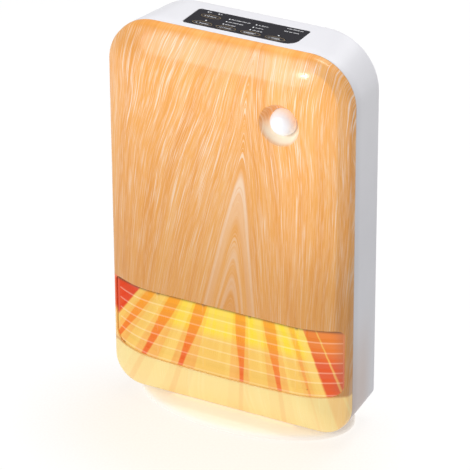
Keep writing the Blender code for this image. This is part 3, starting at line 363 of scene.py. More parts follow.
def moulded(name, colour, roughness=0.5, grain=0.10, shade=0.04, specular=0.5, painted_light_colour=None, painted_warm_tint=False):
    """Fine-grained moulded plastic with a slight unevenness of tone and sheen. A light colour, when given,
    adds a painted glow of its own, and the last flag paints light near the top, shade lower down, and a
    darker, more orange shade low at the front."""
    made = Surface(name, colour, roughness)
    made.set("Specular IOR Level", specular)
    # Painted light: a glow of its own stands in for light falling on the surface.
    if painted_light_colour:
        made.glow(painted_light_colour)
    cloud = made.noise(made.place(), 22.0)
    darker = tuple(channel * (1 - shade) for channel in colour)
    base = made.mix(made.step(cloud, 0.35, 0.65), darker, colour)
    if painted_warm_tint:
        _, y, z = made.axes()
        # Painted shade: lighter near the top and darker lower down, and darker and more orange low at the
        # front.
        painted_shade_tint = made.mix(made.step(z, 350.0, 200.0), (1.03, 1.03, 1.03), (0.94, 0.94, 0.95))
        low = made.step(z, 150.0, 60.0) * made.step(y, SEAM / MM + 58.0, SEAM / MM + 26.0)
        painted_shade_tint = made.mix(low, painted_shade_tint, (0.87, 0.75, 0.68))
        base = made.mix(1.0, base, painted_shade_tint, "MULTIPLY")
    made.feed("Base Color", base)
    made.grain(2600.0, roughness, (-0.05, 0.06), grain)
    return made.material


def metal(name, colour, roughness=0.3, lines=(900.0, 30.0, 30.0)):
    """Metal with fine drawn lines across one axis."""
    made = Surface(name, colour, roughness, 1.0)
    stretched = made.add("ShaderNodeVectorMath", {0: made.place(), 1: lines}, operation="MULTIPLY")
    brushed = made.noise(stretched, 1.0, 3.0, 0.6)
    made.feed("Roughness", made.step(brushed, 0.3, 0.7, roughness - 0.08, roughness + 0.12))
    duller = tuple(channel * 0.86 for channel in colour)
    made.tint(made.noise(made.place(), 60.0), 0.3, 0.7, duller, colour)
    made.bump(brushed, 0.08, 0.03 * MM)
    return made.material


# The running heater's painted glow: rays that fan out downwards from a point above the outlet.
# A ray's place is measured where it passes the outlet's upper edge. Sizes in mm.
RAY_APEX = (27.0, 294.0)
RAY_TOP = 131.0
RAY_FOOT = 55.0
RAYS = (  # place, half width at the top, shift of its red core, half width of its paler fringe, strength
    (-78.0, 5.2, -1.0, 8.5, 1.0),
    (-51.0, 6.6, -1.5, 10.5, 1.0),
    (-21.5, 6.4, -2.0, 10.0, 1.0),
    (21.5, 5.6, 2.2, 8.5, 0.95),
    (52.0, 6.2, 0.5, 9.0, 0.90),
    (76.0, 3.0, 0.0, 5.0, 0.55),
)
RED_ENDS = (-91.0, 89.5)  # beyond these the light is deep red
THIN_RAY = (104.4, 1.2)
YELLOW_FOOT = 99.0
VIEW_ACROSS = tan(CAMERA_AZIMUTH)  # sideways and upward shift, per depth, that lines the rays up in the view
VIEW_UPWARD = tan(CAMERA_ELEVATION) / cos(CAMERA_AZIMUTH)


def flat_place(made):
    """Sideways and upward place, in mm, of a point carried along the view onto the plane of the front."""
    x, y, z = made.axes()
    depth = y - FRONT / MM
    return depth * VIEW_ACROSS + x, depth * VIEW_UPWARD + z


def ray_mask(made, across, upward):
    """How much of a ray covers a point, its place among the rays, and how far down them it is, from 0 to 1.
    The rays are tapering cores with paler fringes, and two red ends."""
    place = (across - RAY_APEX[0]) * (RAY_APEX[1] - RAY_TOP) / (RAY_APEX[1] - upward) + RAY_APEX[0]
    wave = made.noise(made.vector(place * 0.35, 4.0, upward * 0.01))
    place = place + (wave * 2.0 - 1.0)
    down = made.step(upward, RAY_TOP, RAY_FOOT)
    mask = made.step(place, RED_ENDS[0] + 1.2, RED_ENDS[0] - 1.2)
    mask = mask.at_least(made.step(place, RED_ENDS[1] - 1.2, RED_ENDS[1] + 1.2))
    for middle, half, shift, fringe, strength in RAYS:
        off = abs(place - (down * shift + middle))
        core = made.step(off - (down * (-0.72 * half) + half), 1.1, -0.9, 0.0, strength)
        faint = made.step(abs(place - middle), fringe, fringe - 1.8, 0.0, 0.30 * strength)
        mask = mask.at_least(core.at_least(faint))
    thin = made.step(abs(place - THIN_RAY[0]), THIN_RAY[1] * 0.3, THIN_RAY[1] * 1.4, 0.35, 1.0)
    return mask * thin, place, down


def painted_glow_colour(made):
    """Painted glow: yellow light high in the middle, paler below, deep red at the ends, and rays that run
    from orange at the top to red at the foot."""
    across, upward = flat_place(made)
    mask, place, down = ray_mask(made, across, upward)
    yellow = made.step(upward, YELLOW_FOOT - 5.0, YELLOW_FOOT + 6.0)
    yellow = yellow * made.step(abs(place - 24.0), 98.0, 44.0)
    base = made.mix(yellow, (0.930, 0.580, 0.140), (1.0, 0.745, 0.060))
    soft = made.noise(made.vector(place * 0.11, 9.0, upward * 0.01))
    base = made.mix(made.step(soft, 0.42, 0.62, 0.0, 0.5), base, (1.0, 0.700, 0.200))
    fire = made.mix(down, (0.960, 0.380, 0.035), (0.860, 0.125, 0.030))
    red = made.mix(made.step(down, 0.0, 0.45), (0.860, 0.230, 0.035), (0.780, 0.100, 0.025))
    red = made.mix(made.step(place, -88.0, -92.0), red, (0.770, 0.070, 0.025))
    ends = made.step(abs(place + 1.0), 85.0, 92.0)
    return made.mix(mask, base, made.mix(ends, fire, red)), across, upward


def crown_depth(across):
    """Depth, in mm, of the outlet's edge behind the flat front, at a place across the view."""

    def depth_at(value):
        beyond = (abs(value) - (HALF - CROWN_WIDTH) / MM).at_least(0.0).at_most(CROWN_WIDTH / MM)
        return beyond * beyond * (MM / (2 * CROWN_RADIUS))

    return depth_at(depth_at(across) * -VIEW_ACROSS + across)


def painted_glow_surface(name, colour, strength=0.92, pale=0.0, reach=None):
    """A surface inside the outlet with a painted glow, painted shadow under the lip and painted shade at the
    right end. pale adds paler painted highlights, more towards the ends. reach is how far back its painted
    glow goes, in mm; beyond it the glow fades to black.
    """
    made = Surface(name, colour)
    light, across, upward = painted_glow_colour(made)
    # Painted highlight: pale lightens the glow, more towards the ends.
    if pale:
        ends = made.step(abs(across), 40.0, 110.0, pale * 0.55, pale)
        light = made.mix(ends, light, (1.0, 0.90, 0.70))
    top = crown_depth(across) * VIEW_UPWARD + RAY_TOP
    # Painted shadow under the outlet's upper lip.
    light = made.mix(made.step(upward - top, -3.5, 1.0), light, (0.16, 0.085, 0.04))
    # Painted shade at the right end of the outlet.
    light = made.mix(made.step(across, 118.0, 138.0, 0.0, 0.55), light, (0.30, 0.14, 0.10))
    if reach:
        far = FRONT / MM + reach
        light = made.mix(made.step(made.axes()[1], far, far + 4.0), light, (0.0, 0.0, 0.0))
    made.glow(light, strength)
    made.grain(1500.0, 0.6, (-0.05, 0.08), 0.08)
    return made.material


def gloss_black(name, colour, roughness):
    """Black gloss acrylic with faint smears in its polish."""
    made = Surface(name, colour, roughness)
    smear = made.noise(made.place(), 90.0, 3.0)
    made.feed("Roughness", made.step(smear, 0.35, 0.7, roughness - 0.05, roughness + 0.10))
    dust = made.noise(made.place(), 1800.0)
    lighter = tuple(channel + 0.008 for channel in colour)
    made.tint(dust, 0.45, 0.7, colour, lighter)
    made.set("Specular IOR Level", 0.28)
    return made.material


def milky(name, colour, roughness, glow=0.0):
    """Milky moulded plastic that lets some light in."""
    made = Surface(name, colour, roughness)
    made.set("Subsurface Weight", 0.25)
    made.set("Subsurface Radius", (2 * MM, 2 * MM, 2 * MM))
    if glow:
        made.glow(colour, glow)
    made.grain(900.0, roughness, (-0.04, 0.06), 0.05)
    return made.material


def circuit_board():
    """Green solder mask with a pattern of copper tracks under it."""
    made = Surface("solder_mask", (0.02, 0.16, 0.07), 0.35)
    tracks = made.add("ShaderNodeTexBrick", {"Vector": made.place(), "Scale": 260.0, "Mortar Size": 0.035,
                                             "Color1": (0.02, 0.15, 0.06, 1), "Color2": (0.03, 0.20, 0.08, 1),
                                             "Mortar": (0.10, 0.34, 0.14, 1)})
    made.feed("Base Color", tracks)
    made.bump(tracks.output(1), 0.2, 0.04 * MM)
    return made.material


WEAVE_PITCH = 1.1  # mm


def filter_mesh():
    """Fine dark woven mesh."""
    made = Surface("filter_weave", (0.07, 0.075, 0.08), 0.7)
    x, _, z = made.axes()
    turn = 2 * pi / WEAVE_PITCH
    thread = (x * turn).sine().at_least((z * turn).sine())
    made.tint(thread, 0.2, 0.9, (0.015, 0.016, 0.018), (0.16, 0.165, 0.175))
    made.bump(thread, 0.6, 0.2 * MM)
    return made.material


def rubber():
    """Dull black rubber with a little dust on it."""
    made = Surface("rubber_black", (0.03, 0.03, 0.032), 0.8)
    dust = made.noise(made.place(), 160.0, 4.0, 0.6)
    made.tint(dust, 0.5, 0.75, (0.025, 0.025, 0.027), (0.075, 0.073, 0.07))
    made.bump(dust, 0.25, 0.1 * MM)
    return made.material


def fired_ceramic():
    """Off-white fired ceramic with small specks."""
    made = Surface("fired_ceramic", (0.80, 0.77, 0.72), 0.55)
    specks = made.noise(made.place(), 700.0, 3.0, 0.7)
    made.tint(specks, 0.62, 0.7, (0.80, 0.77, 0.72), (0.52, 0.48, 0.42))
    made.bump(specks, 0.15, 0.05 * MM)
    return made.material


WOOD = wood_grain()
# The casing's colour carries painted shade lower down and a more orange painted shade low at the front.
WHITE = moulded("casing_white", (0.665, 0.662, 0.694), 0.36, 0.06, 0.015, 0.25, painted_warm_tint=True)
# The stand's glow is painted light from the running heater falling on it.
STAND_WHITE_PAINTED_GLOW = moulded("stand_white_painted_glow", (0.76, 0.75, 0.74), 0.5, 0.06, 0.015, 0.2, painted_light_colour=(0.33, 0.28, 0.225))
PANEL_INNER = moulded("panel_inner", (0.60, 0.58, 0.54), 0.5)
DARK = moulded("dark_moulding", (0.05, 0.05, 0.055), 0.5)
BLACK = gloss_black("control_black", (0.012, 0.011, 0.016), 0.24)
KEY = gloss_black("key_black_gloss", (0.015, 0.014, 0.020), 0.28)
PRINT = moulded("print_white", (0.62, 0.62, 0.64), 0.5, 0.02, 0.02)
GOLD = moulded("print_gold", (0.36, 0.26, 0.13), 0.4, 0.02, 0.05)
# The sensor dome glows a little: painted light that makes it whiter.
DOME = milky("dome_white", (0.90, 0.91, 0.95), 0.34, 0.10)
INDICATOR = milky("indicator_white", (0.80, 0.82, 0.84), 0.3, 0.25)
GUIDE = milky("guide_clear", (0.80, 0.80, 0.78), 0.25)
STEEL = metal("zinc_steel", (0.58, 0.59, 0.61), 0.3)
MOTOR = metal("motor_can", (0.42, 0.43, 0.45), 0.38, (30.0, 900.0, 30.0))
BRASS = metal("brass_plain", (0.72, 0.53, 0.24), 0.3)
BOARD = circuit_board()
FILTER = filter_mesh()
RUBBER = rubber()
CERAMIC = fired_ceramic()
LEAD_RED = moulded("lead_red_pvc", (0.50, 0.035, 0.03), 0.45)
LEAD_BLUE = moulded("lead_blue_pvc", (0.04, 0.10, 0.40), 0.45)
LEAD_GREY = moulded("lead_grey_pvc", (0.25, 0.25, 0.27), 0.45)
# Parts inside the outlet, with painted glow.
FINS_PAINTED_GLOW = painted_glow_surface("fins_painted_glow", (0.06, 0.05, 0.04))
CERAMIC_PAINTED_GLOW = painted_glow_surface("ceramic_painted_glow", (0.07, 0.055, 0.045))
WALLS_PAINTED_GLOW = painted_glow_surface("duct_painted_glow", (0.06, 0.05, 0.045), reach=50.0)
DUCT_PAINTED_GLOW = painted_glow_surface("surround_painted_glow", (0.05, 0.035, 0.03))
BARS_PAINTED_GLOW = painted_glow_surface("louvre_painted_glow", (0.08, 0.05, 0.035))
# The louvre bars' front edges carry painted highlights over the painted glow.
EDGES_PAINTED_HIGHLIGHT = painted_glow_surface("louvre_edges_painted_highlight", (0.12, 0.09, 0.06), 0.93, pale=0.16)


# Mesh helpers --------

def finish(name, mesh_maker, material, smooth=35, outward=True):
    """An object from a bmesh, smooth except at edges sharper than an angle."""
    if outward:
        bmesh.ops.recalc_face_normals(mesh_maker, faces=mesh_maker.faces)
    mesh = bpy.data.meshes.new(name)
    mesh_maker.to_mesh(mesh)
    mesh_maker.free()
    mesh.shade_smooth()
    mesh.set_sharp_from_angle(angle=radians(smooth))
    made = bpy.data.objects.new(name, mesh)
    bpy.context.scene.collection.objects.link(made)
    mesh.materials.append(material)
    return made


def attach(made, slot, *nodes, body="housing"):
    """The piece rides on a body and stands for the nodes, which it hides. slot is not used."""
    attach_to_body(made, body)
    if nodes:
        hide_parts(*nodes)
    return made


def add_ring(maker, points):
    return [maker.verts.new(point) for point in points]


def bridge(maker, first, second):
    count = len(first)
    for i in range(count):
        j = (i + 1) % count
        maker.faces.new((first[i], first[j], second[j], second[i]))


def point_on(axis, pair, along):
    """A point some way along an axis, from its two other coordinates in order."""
    values = list(pair)
    values.insert("XYZ".index(axis), along)
    return values


def level(outline, z):
    """An outline of (x, y) laid flat at a height."""
    return [(x, y, z) for x, y in outline]


def upright(outline, y):
    """An outline of (x, z) stood up at a depth."""
    return [(x, y, z) for x, z in outline]


def chain(maker, rings, closed=True):
    """Bridges each ring to the next, and closes the two ends flat."""
    for first, second in zip(rings, rings[1:]):
        bridge(maker, first, second)
    if closed:
        maker.faces.new(rings[0])
        maker.faces.new(rings[-1])


def walk(maker, ring, loops):
    """Bridges a ring on through further outlines, and gives their rings."""
    rings = [add_ring(maker, loop) for loop in loops]
    chain(maker, [ring, *rings], False)
    return rings


def loft(name, loops, material, smooth=35):
    """Skin over outlines of equal point counts, closed flat at both ends."""
    maker = bmesh.new()
    chain(maker, [add_ring(maker, loop) for loop in loops])
    return finish(name, maker, material, smooth)


def turned(name, axis, centre, profile, material, sides=64, smooth=35):
    """A ring turned about an axis. The profile is a closed list of (radius, position along the axis)."""
    maker = bmesh.new()
    rings = []
    for i in range(sides):
        angle = 2 * pi * i / sides
        rings.append(add_ring(maker, [
            point_on(axis, (centre[0] + radius * cos(angle), centre[1] + radius * sin(angle)), along)
            for radius, along in profile]))
    chain(maker, rings + rings[:1], False)
    bmesh.ops.remove_doubles(maker, verts=maker.verts, dist=1e-7)
    bmesh.ops.dissolve_degenerate(maker, edges=maker.edges, dist=1e-8)
    return finish(name, maker, material, smooth)


def circle(radius, centre=(0, 0), sides=32):
    turns = [2 * pi * i / sides for i in range(sides)]
    return [(centre[0] + radius * cos(a), centre[1] + radius * sin(a)) for a in turns]


def between(start, end, steps):
    """Points from start up to, but not including, end."""
    return [(start[0] + (end[0] - start[0]) * i / steps, start[1] + (end[1] - start[1]) * i / steps)
            for i in range(steps)]


def rounded_box(low, high, radii, arc=ARC_STEPS, side=1, end=1):
    """A rounded rectangle from its upper right corner anticlockwise, with its straight stretches divided."""
    corners = ((high[0], high[1]), (low[0], high[1]), (low[0], low[1]), (high[0], low[1]))
    arcs = []
    for turn, (corner, radius) in enumerate(zip(corners, radii)):
        inward_x = -1 if turn in (0, 3) else 1
        inward_y = -1 if turn in (0, 1) else 1
        centre = (corner[0] + inward_x * radius, corner[1] + inward_y * radius)
        turns = [radians(90 * turn + 90 * step / arc) for step in range(arc + 1)]
        arcs.append([(centre[0] + radius * cos(a), centre[1] + radius * sin(a)) for a in turns])
    points = []
    for turn in range(4):
        following = arcs[(turn + 1) % 4][0]
        steps = side if turn in (1, 3) else end
        points += arcs[turn][:-1] + between(arcs[turn][-1], following, steps)
    return points


def body_loop(y, inset=0.0, softened=0.0):
    """The body's outline at a depth behind the seam, moved in by inset and rounded off further in."""
    share = min(max(y / TAPER_DEPTH, 0), 1)

    def blend(front, back):
        return front + (back - front) * share

    half = blend(HALF, BACK_HALF) - inset
    low = blend(BODY_LOW, BACK_LOW) + inset
    top = max(blend(CORNER_TOP, BACK_CORNER_TOP) - inset, 1 * MM)
    bottom = max(blend(CORNER_LOW, BACK_CORNER_LOW) - inset, 1.5 * MM)
    top += softened * (20 * MM - top)
    bottom += softened * (14 * MM - bottom)
    loop = rounded_box((-half, low), (half, BODY_HIGH - inset), (top, top, bottom, bottom),
                       side=SIDE_STEPS, end=END_STEPS)
    return [(x, SEAM + y, z) for x, z in loop]


def crown(distance):
    """How far behind the flat front the panel lies, at a distance in from its outline."""
    return max(CROWN_WIDTH - distance, 0) ** 2 / (2 * CROWN_RADIUS)


def inset_at(x, z):
    """The inset of the panel's outline that passes through a point, by halving."""
    low, high = 0.0, CROWN_WIDTH * 1.02
    for _ in range(24):
        middle = (low + high) / 2
        softened = min(middle / CROWN_WIDTH, 1)
        half = HALF - middle
        is_top = z > (BODY_LOW + BODY_HIGH) / 2
        radius = (CORNER_TOP if is_top else CORNER_LOW) - middle
        radius = max(radius, 1 * MM if is_top else 1.5 * MM)
        radius += softened * ((20 if is_top else 14) * MM - radius)
        edge = BODY_HIGH - middle - z if is_top else z - BODY_LOW - middle
        side = half - abs(x)
        inside = min(edge, side) > 0
        if inside and edge < radius and side < radius:
            inside = hypot(radius - edge, radius - side) < radius
        if inside:
            low = middle
        else:
            high = middle
    return low


def panel_y(x, z):
    """Depth of the front panel's outer face at a point."""
    return FRONT + crown(inset_at(x, z))


def solved(target, tools, operation="DIFFERENCE"):
    """Applies Boolean tools to an object, in order, and removes them."""
    for tool in tools:
        modifier = target.modifiers.new("tool", "BOOLEAN")
        modifier.operation = operation
        modifier.solver = "EXACT"
        modifier.object = tool
    bake(target)
    for tool in tools:
        bpy.data.objects.remove(tool)


def bake(target):
    """Applies an object's modifiers to its mesh."""
    bpy.context.view_layer.update()
    evaluated = target.evaluated_get(bpy.context.evaluated_depsgraph_get())
    mesh = bpy.data.meshes.new_from_object(evaluated)
    old = target.data
    target.modifiers.clear()
    target.data = mesh
    mesh.name = target.name
    bpy.data.meshes.remove(old)


def tool(loops):
    """A Boolean tool lofted through outlines."""
    return loft("tool", loops, WHITE)


def smooth_again(made, angle=35):
    made.data.shade_smooth()
    made.data.set_sharp_from_angle(angle=radians(angle))


def soft_copy(name, node, material, width=0.3 * MM, segments=2, body="housing", slot=None):
    """A CAD node's shape with its flat faces cleaned up and its edges rounded."""
    maker = bmesh.new()
    maker.from_mesh(bpy.data.objects[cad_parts[node].name].data)
    bmesh.ops.remove_doubles(maker, verts=maker.verts, dist=1e-6)
    bmesh.ops.dissolve_limit(maker, angle_limit=radians(1), verts=maker.verts, edges=maker.edges)
    made = finish(name, maker, material)
    bevel = made.modifiers.new("edge", "BEVEL")
    bevel.width = width
    bevel.segments = segments
    bevel.limit_method = "ANGLE"
    bevel.angle_limit = radians(40)
    bevel.use_clamp_overlap = True
    bake(made)
    smooth_again(made, 50)
    return attach(made, slot, node, body=body)


# Front panel --------

def fillet(radius, steps=4):
    """(offset from the opening's edge, drop below the face) around a rounded lip, from its wall outwards."""
    turns = [radians(90 * step / steps) for step in range(steps + 1)]
    return [(radius * (1 - cos(a)), radius * (1 - sin(a))) for a in turns]


def outlet_rise(x, z):
    """How far a point of the outlet is raised: not along its top, and most at the ends of its lower edge."""
    return OUTLET_BOW * (x / OUTLET_HALF) ** 2 * (OUTLET_HIGH - z) / (OUTLET_HIGH - OUTLET_LOW)


def outlet_outline(grow):
    radii = (OUTLET_TOP_RADIUS + grow,) * 2 + (OUTLET_LOW_RADIUS + grow,) * 2
    outline = rounded_box((-OUTLET_HALF - grow, OUTLET_LOW - grow), (OUTLET_HALF + grow, OUTLET_HIGH + grow),
                          radii, arc=10, side=72, end=24)
    return [(x, z + outlet_rise(x, z)) for x, z in outline]


def in_outline(point, outline):
    """Whether a point lies inside a closed outline."""
    inside = False
    x, z = point
    for (ax, az), (bx, bz) in zip(outline, outline[1:] + outline[:1]):
        if (az > z) != (bz > z) and x < (bx - ax) * (z - az) / (bz - az) + ax:
            inside = not inside
    return inside


def panel_face(outer, holes):
    """Triangles of the panel's face between its outer loop and its openings: points and triangles."""
    points = list(outer)
    edges = [(i, (i + 1) % len(outer)) for i in range(len(outer))]
    for hole in holes:
        start = len(points)
        points += hole
        edges += [(start + i, start + (i + 1) % len(hole)) for i in range(len(hole))]
    fixed = len(points)
    margin = 1.3 * MM
    walls = [Vector(point) for hole in holes for point in hole]
    inset = 3.4 * MM
    spacing = 1.6 * MM
    while inset < CROWN_WIDTH + 3 * MM:
        for x, _, z in body_loop(0, inset, min(inset / CROWN_WIDTH, 1)):
            if any(in_outline((x, z), hole) for hole in holes):
                continue
            if min((Vector((x, z)) - wall).length_squared for wall in walls) < margin**2:
                continue
            points.append((x, z))
        inset += spacing
        spacing = min(spacing * 1.12, 4 * MM)
    result = delaunay_2d_cdt([Vector(point) for point in points], edges, [], 0, 1e-7)
    vertices, triangles, origins = result[0], result[2], result[3]
    kept = []
    for triangle in triangles:
        centre = sum((vertices[i] for i in triangle), Vector((0, 0))) / 3
        if not any(in_outline(centre, hole) for hole in holes):
            kept.append(triangle)
    place = {}
    for index, sources in enumerate(origins):
        for source in sources:
            place[source] = index
    return vertices, kept, [place[i] for i in range(fixed)]


def front_panel():
    """Pillow-shaped shell with rounded lips at the outlet and the sensor dish."""
    rim = [(GAP, 0.25 * MM), (GAP + 0.25 * MM, 0.0), (RIM_DEPTH - 1.2 * MM, 0.6 * MM),
           (RIM_DEPTH - 0.5 * MM, 0.95 * MM)]
    inner_rim = [(GAP, PANEL_WALL), (RIM_DEPTH - 2.8 * MM, PANEL_WALL + 0.5 * MM)]
    outer = [(x, z) for x, _, z in body_loop(0, 2.2 * MM, 0.04)]
    lip = fillet(0.9 * MM)
    dish_lip = fillet(1.0 * MM)
    outlet = outlet_outline(lip[-1][0])
    dish = circle(DISH_RADIUS + dish_lip[-1][0], SENSOR, 64)
    vertices, triangles, fixed = panel_face(outer, [outlet, dish])
    depths = [panel_y(x, z) for x, z in vertices]

    maker = bmesh.new()
    face, back = ([maker.verts.new((x, y + behind, z)) for (x, z), y in zip(vertices, depths)]
                  for behind in (0, PANEL_WALL))
    inner = set(back)
    for a, b, c in triangles:
        maker.faces.new((face[a], face[b], face[c]))
        maker.faces.new((back[a], back[c], back[b]))
    loops = []
    for outline in (outer, outlet, dish):
        places, fixed = fixed[:len(outline)], fixed[len(outline):]
        loops.append([[layer[i] for i in places] for layer in (face, back)])
    (edge, edge_back), (slot_edge, slot_back), (dish_edge, dish_back) = loops

    sides = walk(maker, edge, [body_loop(-y, inset) for y, inset in reversed(rim)])
    behind = walk(maker, sides[-1], [body_loop(-y, inset) for y, inset in inner_rim])
    bridge(maker, behind[-1], edge_back)

    def lowered(outline, drop):
        return [(x, panel_y(x, z) + drop, z) for x, z in outline]

    loops = [lowered(outlet_outline(grow), drop) for grow, drop in reversed(lip[:-1])]
    wall = walk(maker, slot_edge, [*loops, lowered(outlet_outline(0), PANEL_WALL)])
    bridge(maker, wall[-1], slot_back)

    loops = [lowered(circle(DISH_RADIUS + grow, SENSOR, 64), drop) for grow, drop in reversed(dish_lip[:-1])]
    for turn in [radians(angle) for angle in range(26, 91, 4)]:
        bowl_circle = circle(DISH_RADIUS * (0.66 + 0.34 * cos(turn)), SENSOR, 64)
        loops.append(upright(bowl_circle, FRONT + DISH_DEPTH * sin(turn) ** 1.7))
    bowl = walk(maker, dish_edge, loops)
    flange = ((DISH_RADIUS * 0.66, 13.3), (DISH_RADIUS * 0.77, 13.3), (DISH_RADIUS + 1.6 * MM, 9.0))
    loops = [upright(circle(radius, SENSOR, 64), FRONT + y * MM) for radius, y in flange]
    hidden = walk(maker, bowl[-1], loops)
    bridge(maker, hidden[-1], dish_back)
    inner.update(*behind, *hidden)
    for part in maker.faces:
        part.material_index = int(inner.issuperset(part.verts))
    made = finish("panel_shell", maker, WOOD, 40)
    made.data.materials.append(PANEL_INNER)
    return attach(made, "wood_grain", "front_panel")


# Casing --------

def window_tool(outline, y_low, lip=0.8 * MM):
    """A Boolean tool that opens the casing's back wall with a rounded lip. outline(grow) gives its shape."""
    loops = [upright(outline(0), y_low)]
    loops += [upright(outline(grow), BACK - drop) for grow, drop in fillet(lip, 3)]
    return tool([*loops, upright(outline(lip), BACK + 4 * MM)])


def box_outline(low, high, radius, arc=8):
    def outline(grow):
        return rounded_box((low[0] - grow, low[1] - grow), (high[0] + grow, high[1] + grow),
                           (radius + grow,) * 4, arc=arc)

    return outline


def round_outline(centre, radius, sides=32):
    return lambda grow: circle(radius + grow, centre, sides)


def rod_tool(axis, at, radius, low, high, sides=32):
    """A Boolean tool that drills along an axis through a point."""
    centre = [value for name, value in zip("XYZ", at) if name != axis]
    outline = circle(radius, centre, sides)
    return tool([[point_on(axis, pair, along) for pair in outline] for along in (low, high)])


SCREW_PLACES = [middle_of(f"casing_screw_{number}") for number in (1, 2, 3, 4)]


def plate_outline(grow):
    """The control plate's outline, with one large rounded corner at its right front."""
    return rounded_box((PLATE_LOW.x - grow, PLATE_LOW.y - grow), (PLATE_HIGH.x + grow, PLATE_HIGH.y + grow),
                       (2 * MM + grow / 2, 3 * MM + grow / 2, 4 * MM + grow / 2, 11 * MM + grow), arc=12)


def rear_casing():
    """White tub: tapered sides, rounded back edge, and the openings for the parts it carries."""
    outer = [body_loop(0, 0.35 * MM), body_loop(0.1 * MM, 0.1 * MM), body_loop(0.35 * MM)]
    outer += [body_loop(TAPER_DEPTH * share) for share in (0.25, 0.5, 0.75, 1.0)]
    for angle in range(10, 91, 10):
        y = SEAM + TAPER_DEPTH + BACK_ROUND * sin(radians(angle))
        inset = BACK_INSET * (1 - cos(radians(angle)))
        outer.append([(x, y, z) for x, _, z in body_loop(TAPER_DEPTH, inset)])
    inner = [body_loop(y, CASING_WALL) for y in (0, TAPER_DEPTH / 2, TAPER_DEPTH - 1.2 * MM)]
    for y, inset in ((2.2, 4.4), (3.5, 7.4)):
        inner.append([(x, SEAM + TAPER_DEPTH + y * MM, z) for x, _, z in body_loop(TAPER_DEPTH, inset * MM)])
    casing = loft("casing_shell", outer[::-1] + inner, WHITE)

    posts = [rod_tool("Y", at, 6.2 * MM, SEAM + 50.3 * MM, BACK - 1 * MM) for at in SCREW_PLACES]
    solved(casing, posts, "UNION")
    cuts = []
    for at in SCREW_PLACES:
        cuts.append(window_tool(round_outline((at.x, at.z), 4 * MM), SEAM + 53 * MM, 0.5 * MM))
        cuts.append(rod_tool("Y", at, 1.9 * MM, SEAM + 45 * MM, SEAM + 55 * MM, 16))
    windows = ((INTAKE_LOW, INTAKE_HIGH, GAP, 0.4, 0.35), (CUP_LOW, CUP_HIGH, -2 * MM, 8, 1.6))
    for low, high, grow, radius, lip in windows:
        window = box_outline((low.x - grow, low.z - grow), (high.x + grow, high.z + grow), radius * MM)
        cuts.append(window_tool(window, SEAM + 55 * MM, lip * MM))
    cuts.append(rod_tool("Y", middle_of("cord_gland"), 7 * MM, SEAM + 55 * MM, BACK + 4 * MM))
    edge = 0.25 * MM
    rings = ((GAP, PLATE_LOW.z - GAP), (GAP, BODY_HIGH - edge), (GAP + edge, BODY_HIGH),
             (GAP + edge, BODY_HIGH + 4 * MM))
    cuts.append(tool([level(plate_outline(grow), z) for grow, z in rings]))
    cuts.append(tool([level(plate_outline(-0.7 * MM), BODY_HIGH + z * MM) for z in (-10, 3)]))
    for number in (1, 2):
        cuts.append(rod_tool("Z", middle_of(f"base_screw_{number}"), 1.9 * MM, 8 * MM, 34 * MM, 16))
    cuts.append(rod_tool("Z", middle_of("tip_plunger"), 3.4 * MM, 8 * MM, 34 * MM, 24))
    solved(casing, cuts)
    smooth_again(casing, 32)
    return attach(casing, "white_plastic", "rear_casing")


# Controls --------

KEY_HALF_LENGTH = 11 * MM
KEY_HALF_DEPTH = 4.3 * MM
LIGHTS = (  # centre of each indicator, in mm behind the seam, as in the CAD part
    (-46.5, 40), (-35, 40), (-39, 21.5),
    (-20.5, 34), (-20.5, 27.7), (-20.5, 21.4),
    (8, 34), (8, 27.7), (8, 21.4),
    (38, 21.5),
)
LIGHT_RADIUS = 0.8 * MM
KEY_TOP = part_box("key_timer")[1][2]
KEY_HOLLOW = 0.17  # depth, in mm, of the finger's hollow in each key


def oval(centre, grow=0.0, sides=64):
    return [(centre[0] + (KEY_HALF_LENGTH + grow) * x, centre[1] + (KEY_HALF_DEPTH + grow) * y)
            for x, y in circle(1.0, sides=sides)]


def light_places():
    return [(x * MM, SEAM + y * MM) for x, y in LIGHTS]


def control_plate():
    """Black plate, flush with the top, with holes for the keys and the indicators."""
    low, high = PLATE_LOW.z, PLATE_HIGH.z
    edge = 0.15 * MM
    rings = ((0, low), (0, high - edge), (-edge, high))
    plate = loft("control_face", [level(plate_outline(grow), z) for grow, z in rings], BLACK)
    rings = ((GAP, low - MM), (GAP, high - edge), (GAP + edge, high), (GAP + edge, high + MM))
    cuts = [tool([level(oval(middle_of(name), grow), z) for grow, z in rings]) for name in KEY_BODIES]
    cuts += [rod_tool("Z", at, LIGHT_RADIUS + 0.2 * MM, low - MM, high + MM, 16) for at in light_places()]
    solved(plate, cuts)
    smooth_again(plate, 30)
    return attach(plate, "black_plate", "control_plate")


def key_cap(node):
    """Oval cap with a rounded edge and a shallow hollow for the finger."""
    rings = [(0.0, PLATE_LOW.z - 1.6 * MM)]
    rings += [(grow * MM, KEY_TOP - drop * MM) for grow, drop in (
        (0.0, 0.4), (-0.05, 0.2), (-0.2, 0.05), (-0.4, 0.0), (-1.1, 0.03), (-2.2, 0.12), (-3.6, KEY_HOLLOW))]
    cap = loft(f"{node}_cap", [level(oval(middle_of(node), grow), z) for grow, z in rings], KEY)
    return attach(cap, "key_black", node, body=KEY_BODIES[node])


def flat_ring(maker, outer, inner, low, high):
    """A thin raised ring between two outlines."""
    rings = [add_ring(maker, level(outline, z))
             for outline, z in ((outer, low), (outer, high), (inner, high), (inner, low))]
    chain(maker, rings + rings[:1], False)


def flat_shape(maker, outline, low, high):
    """A thin raised shape."""
    chain(maker, [add_ring(maker, level(outline, z)) for z in (low, high)])


